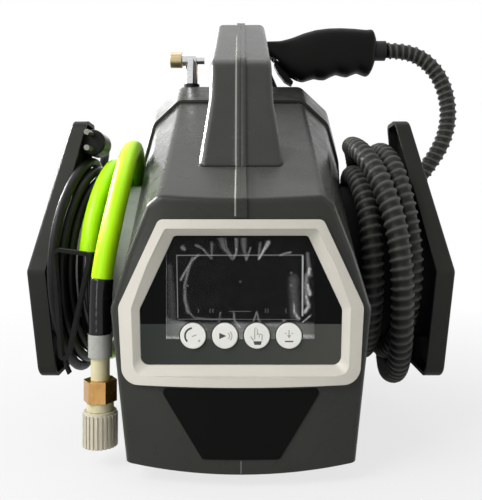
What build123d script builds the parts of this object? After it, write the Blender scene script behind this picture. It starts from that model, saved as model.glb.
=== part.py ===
import math
import os

from build123d import *

os.makedirs("parts", exist_ok=True)

# All sizes in millimetres. +X is to the right seen from the front, the front faces -Y, +Z is up.

# Housing section: right-hand corners (x, z) from the bottom up, at the front and the rear station.
front_station = -158.0
rear_station = 75.0
front_corners = [(79.9, 5.0), (93.0, 123.0), (79.0, 161.5), (66.0, 195.5), (57.0, 203.5)]
rear_corners = [(85.5, 5.0), (104.0, 123.0), (99.0, 260.0), (89.5, 297.5), (62.5, 323.0)]
corner_radii = [0.0, 14.0, 30.0, 10.0, 8.0]
nose_y = -185.0
front_radius = 360.0
front_y = -167.0
front_round = 6.0
casing_wall = 3.0
cover_step = 3.0
lap_gap = 0.3
cover_start = 32.0
lap_length = 8.0
cover_end = 170.0
cover_wall = cover_step - lap_gap
cover_round = 10.0
belly_radius = 633.0
belly_low = 9.5
fit = 0.3
screw_fit = 0.05
spine_half = 4.0
spine_height = 1.8

# Tray, feet and the one size of screw.
tray_thickness = 4.0
foot_radius = 11.0
foot_x = 60.0
foot_y = 110.0
foot_stem = 4.0
screw_head = 3.0
screw_head_height = 2.0
screw_shank = 1.75
screw_length = 10.0
post_radius = 6.5
joint_radius = 5.0
post_top = 42.0

# Front: bezel, panel, buttons, board.
bezel_depth = 3.0
bezel_corners = [(83.0, 70.0), (86.0, 124.0), (57.0, 185.0)]
bezel_radii = [12.0, 10.0, 5.0]
chamfer_corners = [(77.0, 76.3), (79.7, 124.0), (52.5, 178.5)]
opening_corners = [(70.0, 83.0), (71.0, 122.0), (47.0, 173.5)]
opening_radii = [6.0, 6.0, 3.0]
chamfer_y = -164.0
panel_y = -158.0
panel_thickness = 2.5
panel_lip = 4.0
boss_inset = 4.0
boss_y = -148.0
board_thickness = 1.6
button_radius = 9.0
button_pitch = 22.4
button_z = 103.4
button_proud = 1.5
button_flange = 10.3
button_flange_thickness = 1.5
button_stem = 3.0
button_travel = 1.2
switch_side = 6.0
switch_height = 2.0

# Wrap plates and cores, given for the +X side and mirrored.
plate_bend = [(163.0, 57.0), (171.0, 143.0), (147.5, 271.0)]
plate_outline = [(-95.0, 57.0), (35.0, 57.0), (45.0, 143.0), (-15.0, 271.0), (-50.0, 271.0), (-100.0, 143.0)]
plate_corner = 10.0
bend_round = 10.0
plate_skin = 3.0
plate_rim = 15.0
rim_taper = 2.4
plate_round = 2.5
wind_y = -27.0
wind_z = 146.0
core_half_height = 68.0
core_half_depth = 54.5
core_wall = 3.0

# Hoses and cord.
steam_radius = 9.2
steam_bore = 5.5
steam_start_x = 115.0
steam_lift = steam_radius + 0.8
water_radius = 8.0
water_bore = 5.0
cord_radius = 4.2
cord_start_x = -139.8
cord_pitch = -5.0
cord_growth = 7.4
cord_shift = (17.5, 4.0, 12.5)
tail_x = -105.5
tail_y = -128.0

# Deck: spray gun in its holster, bleed valve.
deck_z = rear_corners[-1][1] + cover_step
gun_y = 110.0
gun_half = 17.0
gun_wall = 3.0
barrel_x = 20.0
barrel_radius = 7.0
barrel_bottom = 262.0
holster_bore = 7.4
holster_wall = 3.0
holster_top_z = 351.7
holster_top_radius = 13.0
holster_base_radius = 24.0
nut_gap = 0.3
nut_base = holster_top_z + nut_gap
cuff_radius = 11.0
cuff_z = nut_base + 22.0
cuff_inner_x = 143.0
cuff_end_x = 163.0
valve_x = -54.0
valve_y = 88.0
valve_axis_z = 358.0


def save(shape, node):
    export_step(shape, f"parts/{node}.step")


def lerp(a, b, t):
    return a + (b - a) * t


def mirrored_face(points, radii):
    """Face from right-hand points, bottom to top, mirrored about x = 0."""
    ring = points + [(-x, z) for x, z in reversed(points)]
    return make_face(FilletPolyline(*ring, radius=radii + radii[::-1], close=True))


def outline(y, grow=0.0):
    """Housing section at station y, grown outwards by grow."""
    t = (min(y, rear_station) - front_station) / (rear_station - front_station)
    points = [(lerp(a[0], b[0], t), lerp(a[1], b[1], t)) for a, b in zip(front_corners, rear_corners)]
    face = mirrored_face(points, corner_radii)
    if grow != 0.0:
        face = offset(face, amount=grow, kind=Kind.INTERSECTION)
    return Plane.XZ.offset(-y) * face


def hood_z(y):
    t = (min(y, rear_station) - front_station) / (rear_station - front_station)
    return lerp(front_corners[-1][1], rear_corners[-1][1], t)


def drum(radius):
    """Upright cylinder whose surface makes the curved front."""
    return Pos(0, front_y + front_radius, 150) * Cylinder(radius, 600)


def belly(depth):
    """Cylinder whose surface makes the curved underside, depth further in."""
    return Pos(0, 0, belly_low + belly_radius) * Rot(90, 0, 0) * Cylinder(belly_radius - depth, 700)


def casing_block(grow, end):
    block = loft([outline(nose_y, grow), outline(end, grow)], ruled=True)
    return block & drum(front_radius + grow)


def cover_block(grow, start, end):
    tapered = loft([outline(start, grow), outline(rear_station, grow)], ruled=True)
    straight = extrude(outline(rear_station, grow), amount=end - rear_station, dir=(0, 1, 0))
    return tapered + straight


def round_cover(grow, start, end, radius):
    """Rear housing volume with its rear edges rounded."""
    solid = cover_block(grow, start, end)
    return fillet(solid.edges().filter_by(lambda e: e.center().Y > end - 1 and e.center().Z > 9), radius)


def cover_room(start, inset):
    """Room inside the rear cover, made smaller by inset."""
    depth = cover_wall + inset
    return round_cover(lap_gap - inset, start, cover_end - depth, cover_round - depth)


def front_extrusion(face, y_from, y_to):
    """Extrude a face drawn in x and z from one depth to another."""
    return extrude(Plane.XZ.offset(-y_from) * face, amount=y_to - y_from, dir=(0, 1, 0))


def bar_x(radius, x_from, x_to, y, z):
    return Pos((x_from + x_to) / 2, y, z) * Rot(0, 90, 0) * Cylinder(radius, abs(x_to - x_from))


def bar_y(radius, y_from, y_to, x, z):
    return Pos(x, (y_from + y_to) / 2, z) * Rot(90, 0, 0) * Cylinder(radius, abs(y_to - y_from))


def bar_z(radius, z_from, z_to, x, y):
    return Pos(x, y, (z_from + z_to) / 2) * Cylinder(radius, z_to - z_from)


def block(x, y, z):
    """Box from three (low, high) pairs."""
    middle = Pos((x[0] + x[1]) / 2, (y[0] + y[1]) / 2, (z[0] + z[1]) / 2)
    return middle * Box(x[1] - x[0], y[1] - y[0], z[1] - z[0])


def screw():
    """Screw standing on its head, the seat of the head at z = 0."""
    return bar_z(screw_head, -screw_head_height, 0, 0, 0) + bar_z(screw_shank, 0, screw_length, 0, 0)


# Housing volumes.
lap_end = cover_start + lap_length
casing_solid = casing_block(0.0, lap_end)
nose_edges = casing_solid.edges().filter_by(lambda e: e.center().Y < front_station + 12 and e.center().Z > 6)
casing_outer = fillet(nose_edges, front_round) & belly(0)
casing_shell = casing_outer - casing_block(-casing_wall, lap_end + 1)
cover_outer = round_cover(cover_step, cover_start, cover_end, cover_round) & belly(0)
cover_shell = cover_outer - cover_room(cover_start - 1, 0)


def side_x(y, z):
    """Half-width of the casing low on its side."""
    t = (min(y, rear_station) - front_station) / (rear_station - front_station)
    low = lerp(front_corners[0][0], rear_corners[0][0], t)
    high = lerp(front_corners[1][0], rear_corners[1][0], t)
    return lerp(low, high, (z - front_corners[0][1]) / (front_corners[1][1] - front_corners[0][1]))


def underside_z(x):
    return belly_low + belly_radius - math.sqrt(belly_radius**2 - x**2)


# Screws: up through the tray into posts on the side walls, and across the centre joint.
post_z = 25.0
post_inset = 5.5
casing_posts = [(side_x(y, post_z) - casing_wall - post_inset, y) for y in (-125.0, -55.0, 12.0)]
cover_posts = [(side_x(y, post_z) + lap_gap - post_inset, y) for y in (72.0, 145.0)]
tray_screws = [(sx * x, y) for x, y in casing_posts + cover_posts for sx in (1, -1)]
joint_bosses = [(y, hood_z(y) - 6.5) for y in (-130.0, -60.0, 10.0)] + [(front_y + 6.5, 40.0)]
right_boss = 5.0
left_boss = 12.0
screw_places = []
for x, y in tray_screws:
    screw_places.append(Pos(x, y, underside_z(x) + screw_head_height))
for y, z in joint_bosses:
    screw_places.append(Pos(right_boss, y, z) * Rot(0, -90, 0))
for x, z in ((78.3, 122.0), (76.6, 94.0)):
    for sx in (1, -1):
        screw_places.append(Pos(sx * x, boss_y + board_thickness, z) * Rot(90, 0, 0))
casing_screws = Compound(children=[place * screw() for place in screw_places])
save(casing_screws, "casing_screws")
screw_cuts = Compound(children=[place * bar_z(screw_shank + screw_fit, 0, screw_length + 1, 0, 0)
                                for place in screw_places])
head_cuts = Compound(children=[Pos(x, y, underside_z(x)) * bar_z(screw_head + fit, -3, screw_head_height, 0, 0)
                               for x, y in tray_screws])


def posts(places, outer):
    """Screw posts standing on the tray, joined to the side walls."""
    group = Part()
    for x, y in places:
        for sx in (1, -1):
            group += bar_z(post_radius, 5, post_top, sx * x, y)
    return group & belly(tray_thickness) & outer


# Front outlines.
bezel_face = mirrored_face(bezel_corners, bezel_radii)
boss_face = offset(bezel_face, amount=-boss_inset, kind=Kind.INTERSECTION)
boss_hole_face = offset(bezel_face, amount=fit - boss_inset, kind=Kind.INTERSECTION)
chamfer_face = mirrored_face(chamfer_corners, opening_radii)
opening_face = mirrored_face(opening_corners, opening_radii)
panel_face = offset(opening_face, amount=panel_lip, kind=Kind.INTERSECTION)

# Spine along the centre of the hood, ending in front of the handle.
spine_end = -120.5
spine_top = spine_height * 1.12
spine_points = [
    (front_y - spine_height, 186.0),
    (front_y - spine_height, hood_z(front_y) + spine_top - 2),
    (front_y + 4, hood_z(front_y + 4) + spine_top),
    (spine_end, hood_z(spine_end) + spine_top),
    (spine_end, hood_z(spine_end) - 2),
    (front_y + 8, hood_z(front_y + 8) - 2),
    (front_y + 1.5, hood_z(front_y) - 8),
    (front_y + 1.5, 186.0),
]
spine_radii = [0.0, 3.0, 3.0, 0.0, 0.0, 0.0, 0.0, 0.0]
spine_face = make_face(FilletPolyline(*spine_points, radius=spine_radii, close=True))
spine = extrude(Plane.YZ * spine_face, amount=spine_half, both=True)

# Steam outlet and water inlet leave the sides where the coils start.
outlet_y = wind_y + 64.2
outlet_z = 134.0
fitting_radius = 6.0
right_hole = bar_x(fitting_radius + screw_fit, 60, 130, outlet_y, outlet_z)
left_hole = bar_x(fitting_radius + screw_fit, -130, -60, outlet_y, outlet_z)
gland_y = 95.0
gland_z = 62.0
gland_radius = 7.0

joint_posts = Part()
for y, z in joint_bosses:
    joint_posts += bar_x(joint_radius, -left_boss, right_boss, y, z)
joint_posts = joint_posts & casing_outer
notch = fitting_radius + fit
casing = casing_shell - block((-130, 130), (outlet_y - notch, lap_end + 2), (outlet_z - notch, outlet_z + notch))
casing = casing + posts(casing_posts, casing_outer) + joint_posts + spine
casing = casing - front_extrusion(boss_hole_face, front_y - 5, boss_y) - screw_cuts
casing_right = split(casing, bisect_by=Plane.YZ, keep=Keep.TOP)
casing_left = split(casing, bisect_by=Plane.YZ, keep=Keep.BOTTOM)
save(casing_left, "casing_left")
save(casing_right, "casing_right")

tray_room = casing_block(-casing_wall - fit, lap_end + fit)
tray_room += cover_room(lap_end + fit, fit)
tray = (tray_room & belly(0)) - belly(tray_thickness)
feet_places = [(sx * foot_x, sy * foot_y) for sx in (1, -1) for sy in (1, -1)]
feet = Part()
for x, y in feet_places:
    pad = bar_z(foot_radius, 0, 25, x, y) - belly(0)
    cap = bar_z(foot_stem + 2, 8, underside_z(x) + tray_thickness + 3, x, y) & belly(tray_thickness)
    feet += pad + cap + bar_z(foot_stem, 5, underside_z(x) + tray_thickness + 3, x, y)
    tray -= bar_z(foot_stem + screw_fit, 0, 30, x, y)
tray = tray - screw_cuts - head_cuts
save(tray, "base_tray")
save(feet, "rubber_feet")

# Bezel: curved flange on the casing, boss through its opening, two snap lips behind the wall.
bezel = front_extrusion(bezel_face, front_y - 10, boss_y) & drum(front_radius + bezel_depth)
bezel_flange = bezel - drum(front_radius)
bezel_boss = front_extrusion(boss_face, front_y - 10, boss_y) & drum(front_radius + bezel_depth)
lip_y = (front_y + casing_wall + 0.3, front_y + casing_wall + 3.3)
top_lip = block((-15, 15), lip_y, (bezel_corners[2][1] - boss_inset - 2, bezel_corners[2][1] - boss_inset + 1.6))
low_lip = block((-15, 15), lip_y, (bezel_corners[0][1] + boss_inset - 1.6, bezel_corners[0][1] + boss_inset + 2))
bezel = bezel_flange + bezel_boss + top_lip + low_lip
slope = loft([Plane.XZ.offset(-chamfer_y) * chamfer_face, Plane.XZ.offset(-panel_y) * opening_face], ruled=True)
bezel = bezel - slope - front_extrusion(chamfer_face, front_y - 10, chamfer_y)
bezel = bezel - front_extrusion(panel_face, panel_y, boss_y + 1)
bezel -= screw_cuts
save(bezel, "front_bezel")

button_x = [button_pitch * (i - 1.5) for i in range(4)]
panel_back = panel_y + panel_thickness
panel = front_extrusion(offset(panel_face, amount=-0.2, kind=Kind.INTERSECTION), panel_y, panel_back)
for x in button_x:
    panel -= bar_y(button_radius + fit, panel_y - 1, panel_back + 1, x, button_z)
save(panel, "control_panel")
film_face = mirrored_face([(52.0, 101.0), (52.0, 161.0), (46.5, 171.5)], [2.0, 1.0, 2.0])
film = front_extrusion(film_face, panel_y - 0.3, panel_y)
for x in button_x:
    film -= bar_y(button_radius + 2 * fit, panel_y - 1, panel_y + 1, x, button_z)
save(film, "display_film")
save(block((-44, 44), (panel_back, boss_y), (116, 161)), "display_module")
flange_front = panel_back + 0.2
stem_end = boss_y - switch_height - button_travel - 0.1
for name, x in zip(("gauge", "start", "hand", "level"), button_x):
    cap = bar_y(button_radius, panel_y - button_proud, flange_front, x, button_z)
    cap = fillet(cap.edges().sort_by(Axis.Y)[0], 0.6)
    cap += bar_y(button_flange, flange_front, flange_front + button_flange_thickness, x, button_z)
    cap += bar_y(button_stem, flange_front, stem_end, x, button_z)
    save(cap, f"button_{name}")
board_face = offset(bezel_face, amount=-boss_inset - 1, kind=Kind.INTERSECTION)
board = front_extrusion(board_face, boss_y, boss_y + board_thickness)
board -= screw_cuts
for x in button_x:
    half = switch_side / 2
    board += block((x - half, x + half), (boss_y - switch_height, boss_y), (button_z - half, button_z + half))
save(board, "control_board")
plate_face = mirrored_face([(26.5, 20.0), (56.5, 68.0)], [3.0, 3.0])
front_plate = (front_extrusion(plate_face, front_y - 10, boss_y) & drum(front_radius + 0.8)) - drum(front_radius)
save(front_plate, "front_plate")

# Handle: two hollow halves that stand on the hood and on the deck.
handle_round = 6.0
handle_wall = 4.0
handle_hollow_half = 19.0
handle_foot = (-125.5, 204.0)
handle_heel = (88.0, 310.0)
handle_outer = make_face(FilletPolyline(
    handle_foot, (-74.0, 318.0), (50.0, 386.0), (80.0, 372.0), handle_heel,
    radius=[0.0, 25.0, 10.0, 12.0, 0.0], close=True))
handle_gap = make_face(FilletPolyline(
    (-94.0, 205.0), (-52.0, 300.0), (50.0, 355.0), (61.0, 270.0), radius=[0.0, 12.0, 6.0, 0.0], close=True))
handle_front = mirrored_face([(37.0, 200.0), (26.5, 280.0), (24.0, 400.0)], [0.0, 100.0, 0.0])
handle_profile = handle_outer - handle_gap
handle = extrude(Plane.YZ * handle_profile, amount=40, both=True) & front_extrusion(handle_front, -200, 200)


def handle_rim(edge):
    """Edges along the sides of the handle, without its hidden bottom and the bend line of its sides."""
    middle = edge.center()
    size = edge.bounding_box().size
    t = (middle.Y - handle_foot[0]) / (handle_heel[0] - handle_foot[0])
    bottom = lerp(handle_foot[1], handle_heel[1], t)
    return abs(middle.X) > 10 and middle.Z - bottom > 6 and not (size.Z < 0.3 and size.Y > 5)


handle = fillet(handle.edges().filter_by(handle_rim), handle_round)
handle_spine = offset(handle_outer, amount=spine_height, kind=Kind.INTERSECTION) - handle_gap
handle += extrude(Plane.YZ * handle_spine, amount=spine_half, both=True)
handle_hollow = offset(handle_profile, amount=-handle_wall, kind=Kind.INTERSECTION)
handle -= extrude(Plane.YZ * handle_hollow, amount=handle_hollow_half, both=True)
handle = handle - casing_outer - cover_outer
handle_right = split(handle, bisect_by=Plane.YZ, keep=Keep.TOP)
handle_left = split(handle, bisect_by=Plane.YZ, keep=Keep.BOTTOM)
save(handle_left, "handle_left")
save(handle_right, "handle_right")


# Wrap plates and cores.
def bend_x(z):
    low, kink, high = plate_bend
    a, b = (low, kink) if z < kink[1] else (kink, high)
    return lerp(a[0], b[0], (z - a[1]) / (b[1] - a[1]))


def bend_band(depth_from, depth_to):
    """Region between two depths behind the bent outer skin."""
    heights = (30.0, plate_bend[1][1], 300.0)
    near = [(bend_x(z) - depth_from, z) for z in heights]
    far = [(bend_x(z) - depth_to, z) for z in reversed(heights)]
    band = FilletPolyline(*near, *far, radius=[0.0, bend_round, 0.0, 0.0, bend_round, 0.0], close=True)
    return front_extrusion(make_face(band), -200, 200)


def plate_edge(edge):
    """Edges around the outer skin of the plate, without the lines of its bend."""
    middle = edge.center()
    size = edge.bounding_box().size
    bend_line = size.Z < 0.3 and abs(middle.Z - plate_bend[1][1]) < 12
    return middle.X > bend_x(middle.Z) - 4 and size.X < 8 and not bend_line


plate_side = make_face(FilletPolyline(*plate_outline, radius=plate_corner, close=True))
rim_front = Pos(plate_bend[1][0], plate_outline[-1][0], 0)
rim_depth = rim_front * Rot(0, 0, -rim_taper) * rim_front.inverse() * bend_band(-40, plate_rim)
plate = extrude(Plane.YZ * plate_side, amount=220) & bend_band(0, 40) & rim_depth
plate = fillet(plate.edges().filter_by(plate_edge), plate_round)
plate_hollow = offset(plate_side, amount=-plate_skin, kind=Kind.INTERSECTION)
plate -= extrude(Plane.YZ * plate_hollow, amount=220) & bend_band(plate_skin, plate_rim + 20)
core_outer = extrude(Plane.YZ * Pos(wind_y, wind_z) * Ellipse(core_half_depth, core_half_height), amount=220)
core_room = extrude(
    Plane.YZ * Pos(wind_y, wind_z) * Ellipse(core_half_depth - core_wall, core_half_height - core_wall), amount=220)
core = (core_outer - core_room) + (core_outer & bend_band(plate_skin, plate_skin + core_wall))
core = (core & bend_band(plate_skin, 150)) - casing_outer - plate
save(plate, "wrap_plate_right")
save(mirror(plate, about=Plane.YZ), "wrap_plate_left")
save(core, "wrap_core_right")
save(mirror(core, about=Plane.YZ), "wrap_core_left")


# Soft forms: every run is built from tangent arcs.
def biarc(p0, t0, p1, t1):
    """Two arcs that leave p0 along t0 and reach p1 along t1."""
    v = p1 - p0
    a = 2 * (t0.dot(t1) - 1)
    b = -2 * v.dot(t0 + t1)
    c = v.dot(v)
    d = -c / b if abs(a) < 1e-9 else (-b - math.sqrt(b * b - 4 * a * c)) / (2 * a)
    q0 = p0 + t0 * d
    q1 = p1 - t1 * d
    joint = (q0 + q1) * 0.5
    return [TangentArc(p0, joint, tangent=t0), TangentArc(joint, p1, tangent=q1 - q0)]


def soft_path(stops, lead_in=None, lead_out=None):
    """Wire through (point, direction) stops, with straight ends where they are given."""
    edges = []
    if lead_in:
        edges.append(Line(lead_in, stops[0][0]))
    for (p0, t0), (p1, t1) in zip(stops, stops[1:]):
        edges += biarc(p0, t0, p1, t1)
    if lead_out:
        edges.append(Line(stops[-1][0], lead_out))
    return Wire(edges)


def tube(path, radius, bore=0.0):
    face = Circle(radius)
    if bore:
        face = face - Circle(bore)
    return sweep(Plane(path @ 0, z_dir=path % 0) * face, path=path)


def winding(x0, pitch, growth, shift, half_height, half_depth):
    """Point on a growing oval coil after a number of turns, starting at the rear and rising."""
    top, front, bottom = shift
    c0 = front / 4 + (top + bottom) / 4
    c2 = front / 4 - (top + bottom) / 4

    def point(turns):
        angle = 2 * math.pi * turns
        x = x0 + pitch * turns + c0 - front / 2 * math.cos(angle)
        x += (top - bottom) / 2 * math.sin(angle) + c2 * math.cos(2 * angle)
        y = wind_y + (half_depth + growth * turns) * math.cos(angle)
        z = wind_z + (half_height + growth * turns) * math.sin(angle)
        return Vector(x, y, z)

    return point


def lay(rows):
    """Stops at the top, front, bottom and rear of each turn, from (x, height above the core)."""
    stops = []
    for i, (x, lift) in enumerate(rows):
        high = core_half_height + lift
        deep = core_half_depth + lift
        stops.append((
            stop(x, wind_y, wind_z + high, 0, -1, 0),
            stop(x, wind_y - deep, wind_z, 0, 0, -1),
            stop(x, wind_y, wind_z - high, 0, 1, 0),
            stop(x, wind_y + deep, wind_z, 0, 0, 1),
        )[i % 4])
    return stops


def coil_stops(point, turns):
    """Stops at each quarter turn."""
    stops = []
    for i in range(4 * turns + 1):
        here = i / 4
        stops.append((point(here), (point(here + 0.001) - point(here - 0.001)).normalized()))
    return stops


def stop(x, y, z, dx, dy, dz):
    return (Vector(x, y, z), Vector(dx, dy, dz).normalized())


def elbow(side, x, radius):
    """Right-angle fitting: from inside the housing out through its side, then up to the hose."""
    across = bar_x(fitting_radius, side * 84, side * x, outlet_y, outlet_z)
    corner = Pos(side * x, outlet_y, outlet_z) * Sphere(radius)
    return across + corner + bar_z(radius, outlet_z, outlet_z + 12, side * x, outlet_y)


# Steam hose: three turns on the right-hand core, the third over the second, then the ribbed lead to the gun.
steam_foot = Vector(steam_start_x, outlet_y, outlet_z + 12)
steam_stops = [stop(steam_start_x, outlet_y, outlet_z + 12 + 2 * steam_radius, 0, 0, 1)]
steam_stops += lay([
    (101.0, steam_lift), (106.8, steam_lift), (108.0, steam_lift), (120.5, 33.0),
    (126.0, 31.0), (138.5, steam_lift), (129.5, steam_lift), (137.5, 45.0),
])
steam_stops.append(stop(121, 50.5, 229, -0.4, -0.66, 0.63))
steam_stops += lay([(100.0, 33.0), (125.5, 28.5), (135.0, 30.5), (153.0, 58.0)])
steam_path = soft_path(steam_stops, lead_in=steam_foot)
save(tube(steam_path, steam_radius, steam_bore), "steam_hose_coil")
save(elbow(1, steam_start_x, steam_radius - 0.6), "steam_outlet")
lead_stops = [
    steam_stops[-1],
    stop(200, 88, 235, 0.62, 0.06, 0.78),
    stop(230, 98, cuff_z - 62, 0.0, 0.1, 1.0),
    stop(cuff_end_x + 6, gun_y, cuff_z, -1, 0, 0),
]
lead_path = soft_path(lead_stops, lead_out=Vector(cuff_end_x, gun_y, cuff_z))
rib_pitch = 8.0
rib_depth = 1.0
rib_count = round(lead_path.length / rib_pitch)


def lead_circle(share, radius):
    along = lead_path % share
    across = Vector(0, 1, 0) - along * along.Y
    return Plane(lead_path @ share, x_dir=across, z_dir=along) * Circle(radius)


rings = []
for i in range(rib_count):
    rings.append(lead_circle(i / rib_count, steam_radius - rib_depth))
    rings.append(lead_circle((i + 0.2) / rib_count, steam_radius))
    rings.append(lead_circle((i + 0.6) / rib_count, steam_radius))
    rings.append(lead_circle((i + 0.8) / rib_count, steam_radius - rib_depth))
rings.append(lead_circle(1, steam_radius - rib_depth))
lead = loft(rings, ruled=True) - tube(lead_path, steam_bore)
save(lead, "steam_hose_lead")

# Water hose: one turn on the left-hand core, over the top, and a hanging tail with its tap fitting.
water_start_x = -114.5
water_foot = Vector(water_start_x, outlet_y, outlet_z + 12)
water_stops = [
    stop(water_start_x, outlet_y, outlet_z + 12 + 2 * water_radius, 0, 0, 1),
    stop(-111, wind_y, 232, -0.05, -1, 0),
    stop(-123, -93, wind_z, 0, 0, -1),
    stop(-117.5, wind_y, 66, 0.03, 1, 0),
    stop(-118.5, 58.5, wind_z, 0.02, 0, 1),
    stop(-97.5, wind_y, 248, 0.1, -1, 0),
]
water_path = soft_path(water_stops, lead_in=water_foot)
save(tube(water_path, water_radius, water_bore), "water_hose")
save(elbow(-1, -water_start_x, water_radius), "water_inlet")
sleeve_top = 141.0
sleeve_low = 99.0
tail_stops = [
    water_stops[-1],
    stop(-97, -100, 207, -0.05, -0.62, -0.78),
    stop(tail_x, tail_y, sleeve_top + 2 * water_radius, 0, 0, -1),
]
tail_path = soft_path(tail_stops, lead_out=Vector(tail_x, tail_y, sleeve_low))
save(tube(tail_path, water_radius, water_bore), "water_hose_tail")


def tail_ring(outer, inner, z_from, z_to):
    return bar_z(outer, z_from, z_to, tail_x, tail_y) - bar_z(inner, z_from - 1, z_to + 1, tail_x, tail_y)


tube_radius = 7.0
nut_top = 65.0
nut_low = 49.0
clear_low = 82.0
collar_top = 42.0
collar_low = 16.0
collar_radius = 13.0
spigot_radius = 5.0
save(tail_ring(water_radius + 1.5, water_radius + screw_fit, sleeve_low, sleeve_top), "hose_sleeve")
save(tail_ring(9.0, tube_radius + screw_fit, clear_low, sleeve_low), "clear_sleeve")
save(tail_ring(tube_radius, 4.0, nut_top - 6, sleeve_low), "tail_tube")
hexagon = extrude(Pos(tail_x, tail_y, nut_low) * RegularPolygon(12.5, 6), amount=nut_top - nut_low)
hexagon -= bar_z(tube_radius + screw_fit, nut_top - 6, nut_top + 1, tail_x, tail_y)
spigot = bar_z(spigot_radius, 33, nut_low, tail_x, tail_y) + bar_z(spigot_radius + 3, 33, 36, tail_x, tail_y)
save(hexagon + spigot - bar_z(3.0, 30, nut_top, tail_x, tail_y), "hex_fitting")
save(tail_ring(10.0, spigot_radius + screw_fit, collar_top + 0.2, nut_low), "seal_ring")
collar = tail_ring(collar_radius - 1, spigot_radius + screw_fit, collar_low, collar_top)
for i in range(24):
    collar += Pos(tail_x, tail_y, 0) * Rot(0, 0, 15 * i) * block(
        (collar_radius - 2, collar_radius), (-0.9, 0.9), (collar_low, collar_top - 2))
collar -= bar_z(9.0, collar_low - 1, 37, tail_x, tail_y)
save(collar, "tap_collar")

# Power cord: three turns outside the water hose, then the plug tucked behind the top of the plate.
plug_x = -131.0
plug_z = 252.0
plug_back = -8.0
plug_length = 28.0
plug_relief = 12.0
plug_radius = 11.5
pin_pitch = 13.3
pin_length = 19.0
gland_face_x = -108.0
cord_point = winding(cord_start_x, cord_pitch, cord_growth, cord_shift, core_half_height + 5, core_half_depth + 6.5)
cord_stops = [
    stop(gland_face_x - 2 * cord_radius, gland_y, gland_z, -1, 0, 0),
    stop(-148, 67, 92, 0.2, -0.66, 0.72),
    stop(-131, 34.5, wind_z, 0.02, -0.05, 1),
]
cord_stops += coil_stops(cord_point, 3)[1:]
cord_stops.append(stop(plug_x, plug_back + 4 * cord_radius, plug_z, 0, -1, 0))
cord_path = soft_path(cord_stops, lead_in=Vector(gland_face_x, gland_y, gland_z),
                      lead_out=Vector(plug_x, plug_back, plug_z))
save(tube(cord_path, cord_radius), "power_cord")
save(bar_x(gland_radius, -88, gland_face_x, gland_y, gland_z), "cord_gland")
relief_front = plug_back - plug_relief
plug_front = relief_front - plug_length
plug = fillet(bar_y(plug_radius, plug_front, relief_front, plug_x, plug_z).edges(), 2.0)
plug += bar_y(cord_radius + 2.5, relief_front - 2, plug_back, plug_x, plug_z)
pins = bar_y(2.4, plug_front - pin_length, plug_front, plug_x, plug_z - pin_pitch / 2)
pins += bar_y(2.4, plug_front - pin_length, plug_front, plug_x, plug_z + pin_pitch / 2)
save(plug, "power_plug")
save(pins, "plug_pins")

# Strap hooked over the cord: a narrow loop that hangs in front of the turns.
tie_ends = (Pos(-142.0, 158.5) * Circle(3.5)).edges() + (Pos(-119.5, 156.0) * Circle(3.5)).edges()
tie_ends += (Pos(-136.0, 82.0) * Circle(4.5)).edges()
tie_face = make_hull(tie_ends)
tie_face -= offset(tie_face, amount=-3.0)
tie_back = -109.4
save(front_extrusion(tie_face, tie_back - 3, tie_back), "tie_strap")


# Spray gun: two shell halves that meet at its middle plane.
def above_nut(points):
    """Outline corners given as (x, height above the base of the nut)."""
    return [(x, nut_base + height) for x, height in points]


gun_points = above_nut([
    (-14.0, 16.0), (34.0, 16.0), (38.0, 8.0), (58.0, -9.2), (71.0, -13.4), (133.0, -5.4),
    (146.5, -6.0), (152.0, 16.0), (153.5, 36.5), (141.0, 44.2), (110.0, 46.7), (82.0, 44.5),
    (55.4, 33.8), (42.0, 30.2), (-14.0, 30.2),
])
gun_corners = [7.0, 2.0, 7.5, 12.0, 16.0, 30.0, 8.0, 20.0, 9.0, 14.0, 40.0, 24.0, 24.0, 20.0, 7.0]
gun_round = 6.5
gun_room_half = gun_half - gun_wall
gun_face = make_face(FilletPolyline(*gun_points, radius=gun_corners, close=True))
gun = front_extrusion(gun_face, gun_y - gun_half, gun_y + gun_half)
gun = fillet(gun.edges().filter_by(lambda e: abs(e.center().Y - gun_y) > gun_half - 1), gun_round)
gun_room = offset(gun_face, amount=-gun_wall, kind=Kind.INTERSECTION)
gun -= front_extrusion(gun_room, gun_y - gun_room_half, gun_y + gun_room_half)
trigger_half = 5.0
pivot_x = 41.2
pivot_z = nut_base + 9.0
pin_radius = 1.5
pin_half = 13.0
slot_face = make_face(Polyline(*above_nut(
    [(35, -7), (35, 17), (50, 17), (58, 0), (66, -14), (60, -22)]), close=True))
gun -= front_extrusion(slot_face, gun_y - trigger_half - 0.4, gun_y + trigger_half + 0.4)
gun -= bar_y(pin_radius + screw_fit, gun_y - pin_half, gun_y + pin_half, pivot_x, pivot_z)
head_floor = gun_points[0][1]
barrel_top = head_floor + 4.0
gun -= bar_z(barrel_radius + screw_fit, nut_base + 8, barrel_top, barrel_x, gun_y)
gun -= bar_x(cuff_radius + screw_fit, cuff_inner_x, cuff_end_x + 2, gun_y, cuff_z)
gun_middle = Plane.XZ.offset(-gun_y)
save(split(gun, bisect_by=gun_middle, keep=Keep.TOP), "gun_grip_front")
save(split(gun, bisect_by=gun_middle, keep=Keep.BOTTOM), "gun_grip_rear")
trigger_points = above_nut([
    (37.5, 12.0), (44.0, 13.0), (47.0, 6.0), (52.0, -5.5), (59.0, -14.0), (57.0, -18.0), (49.0, -13.5),
    (41.0, -3.0), (37.2, 5.0),
])
trigger_face = make_face(FilletPolyline(
    *trigger_points, radius=[2.0, 2.0, 4.0, 8.0, 1.5, 1.5, 6.0, 8.0, 4.0], close=True))
trigger = front_extrusion(trigger_face, gun_y - trigger_half, gun_y + trigger_half)
trigger -= bar_y(pin_radius + screw_fit, gun_y - 10, gun_y + 10, pivot_x, pivot_z)
save(trigger, "gun_trigger")
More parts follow.
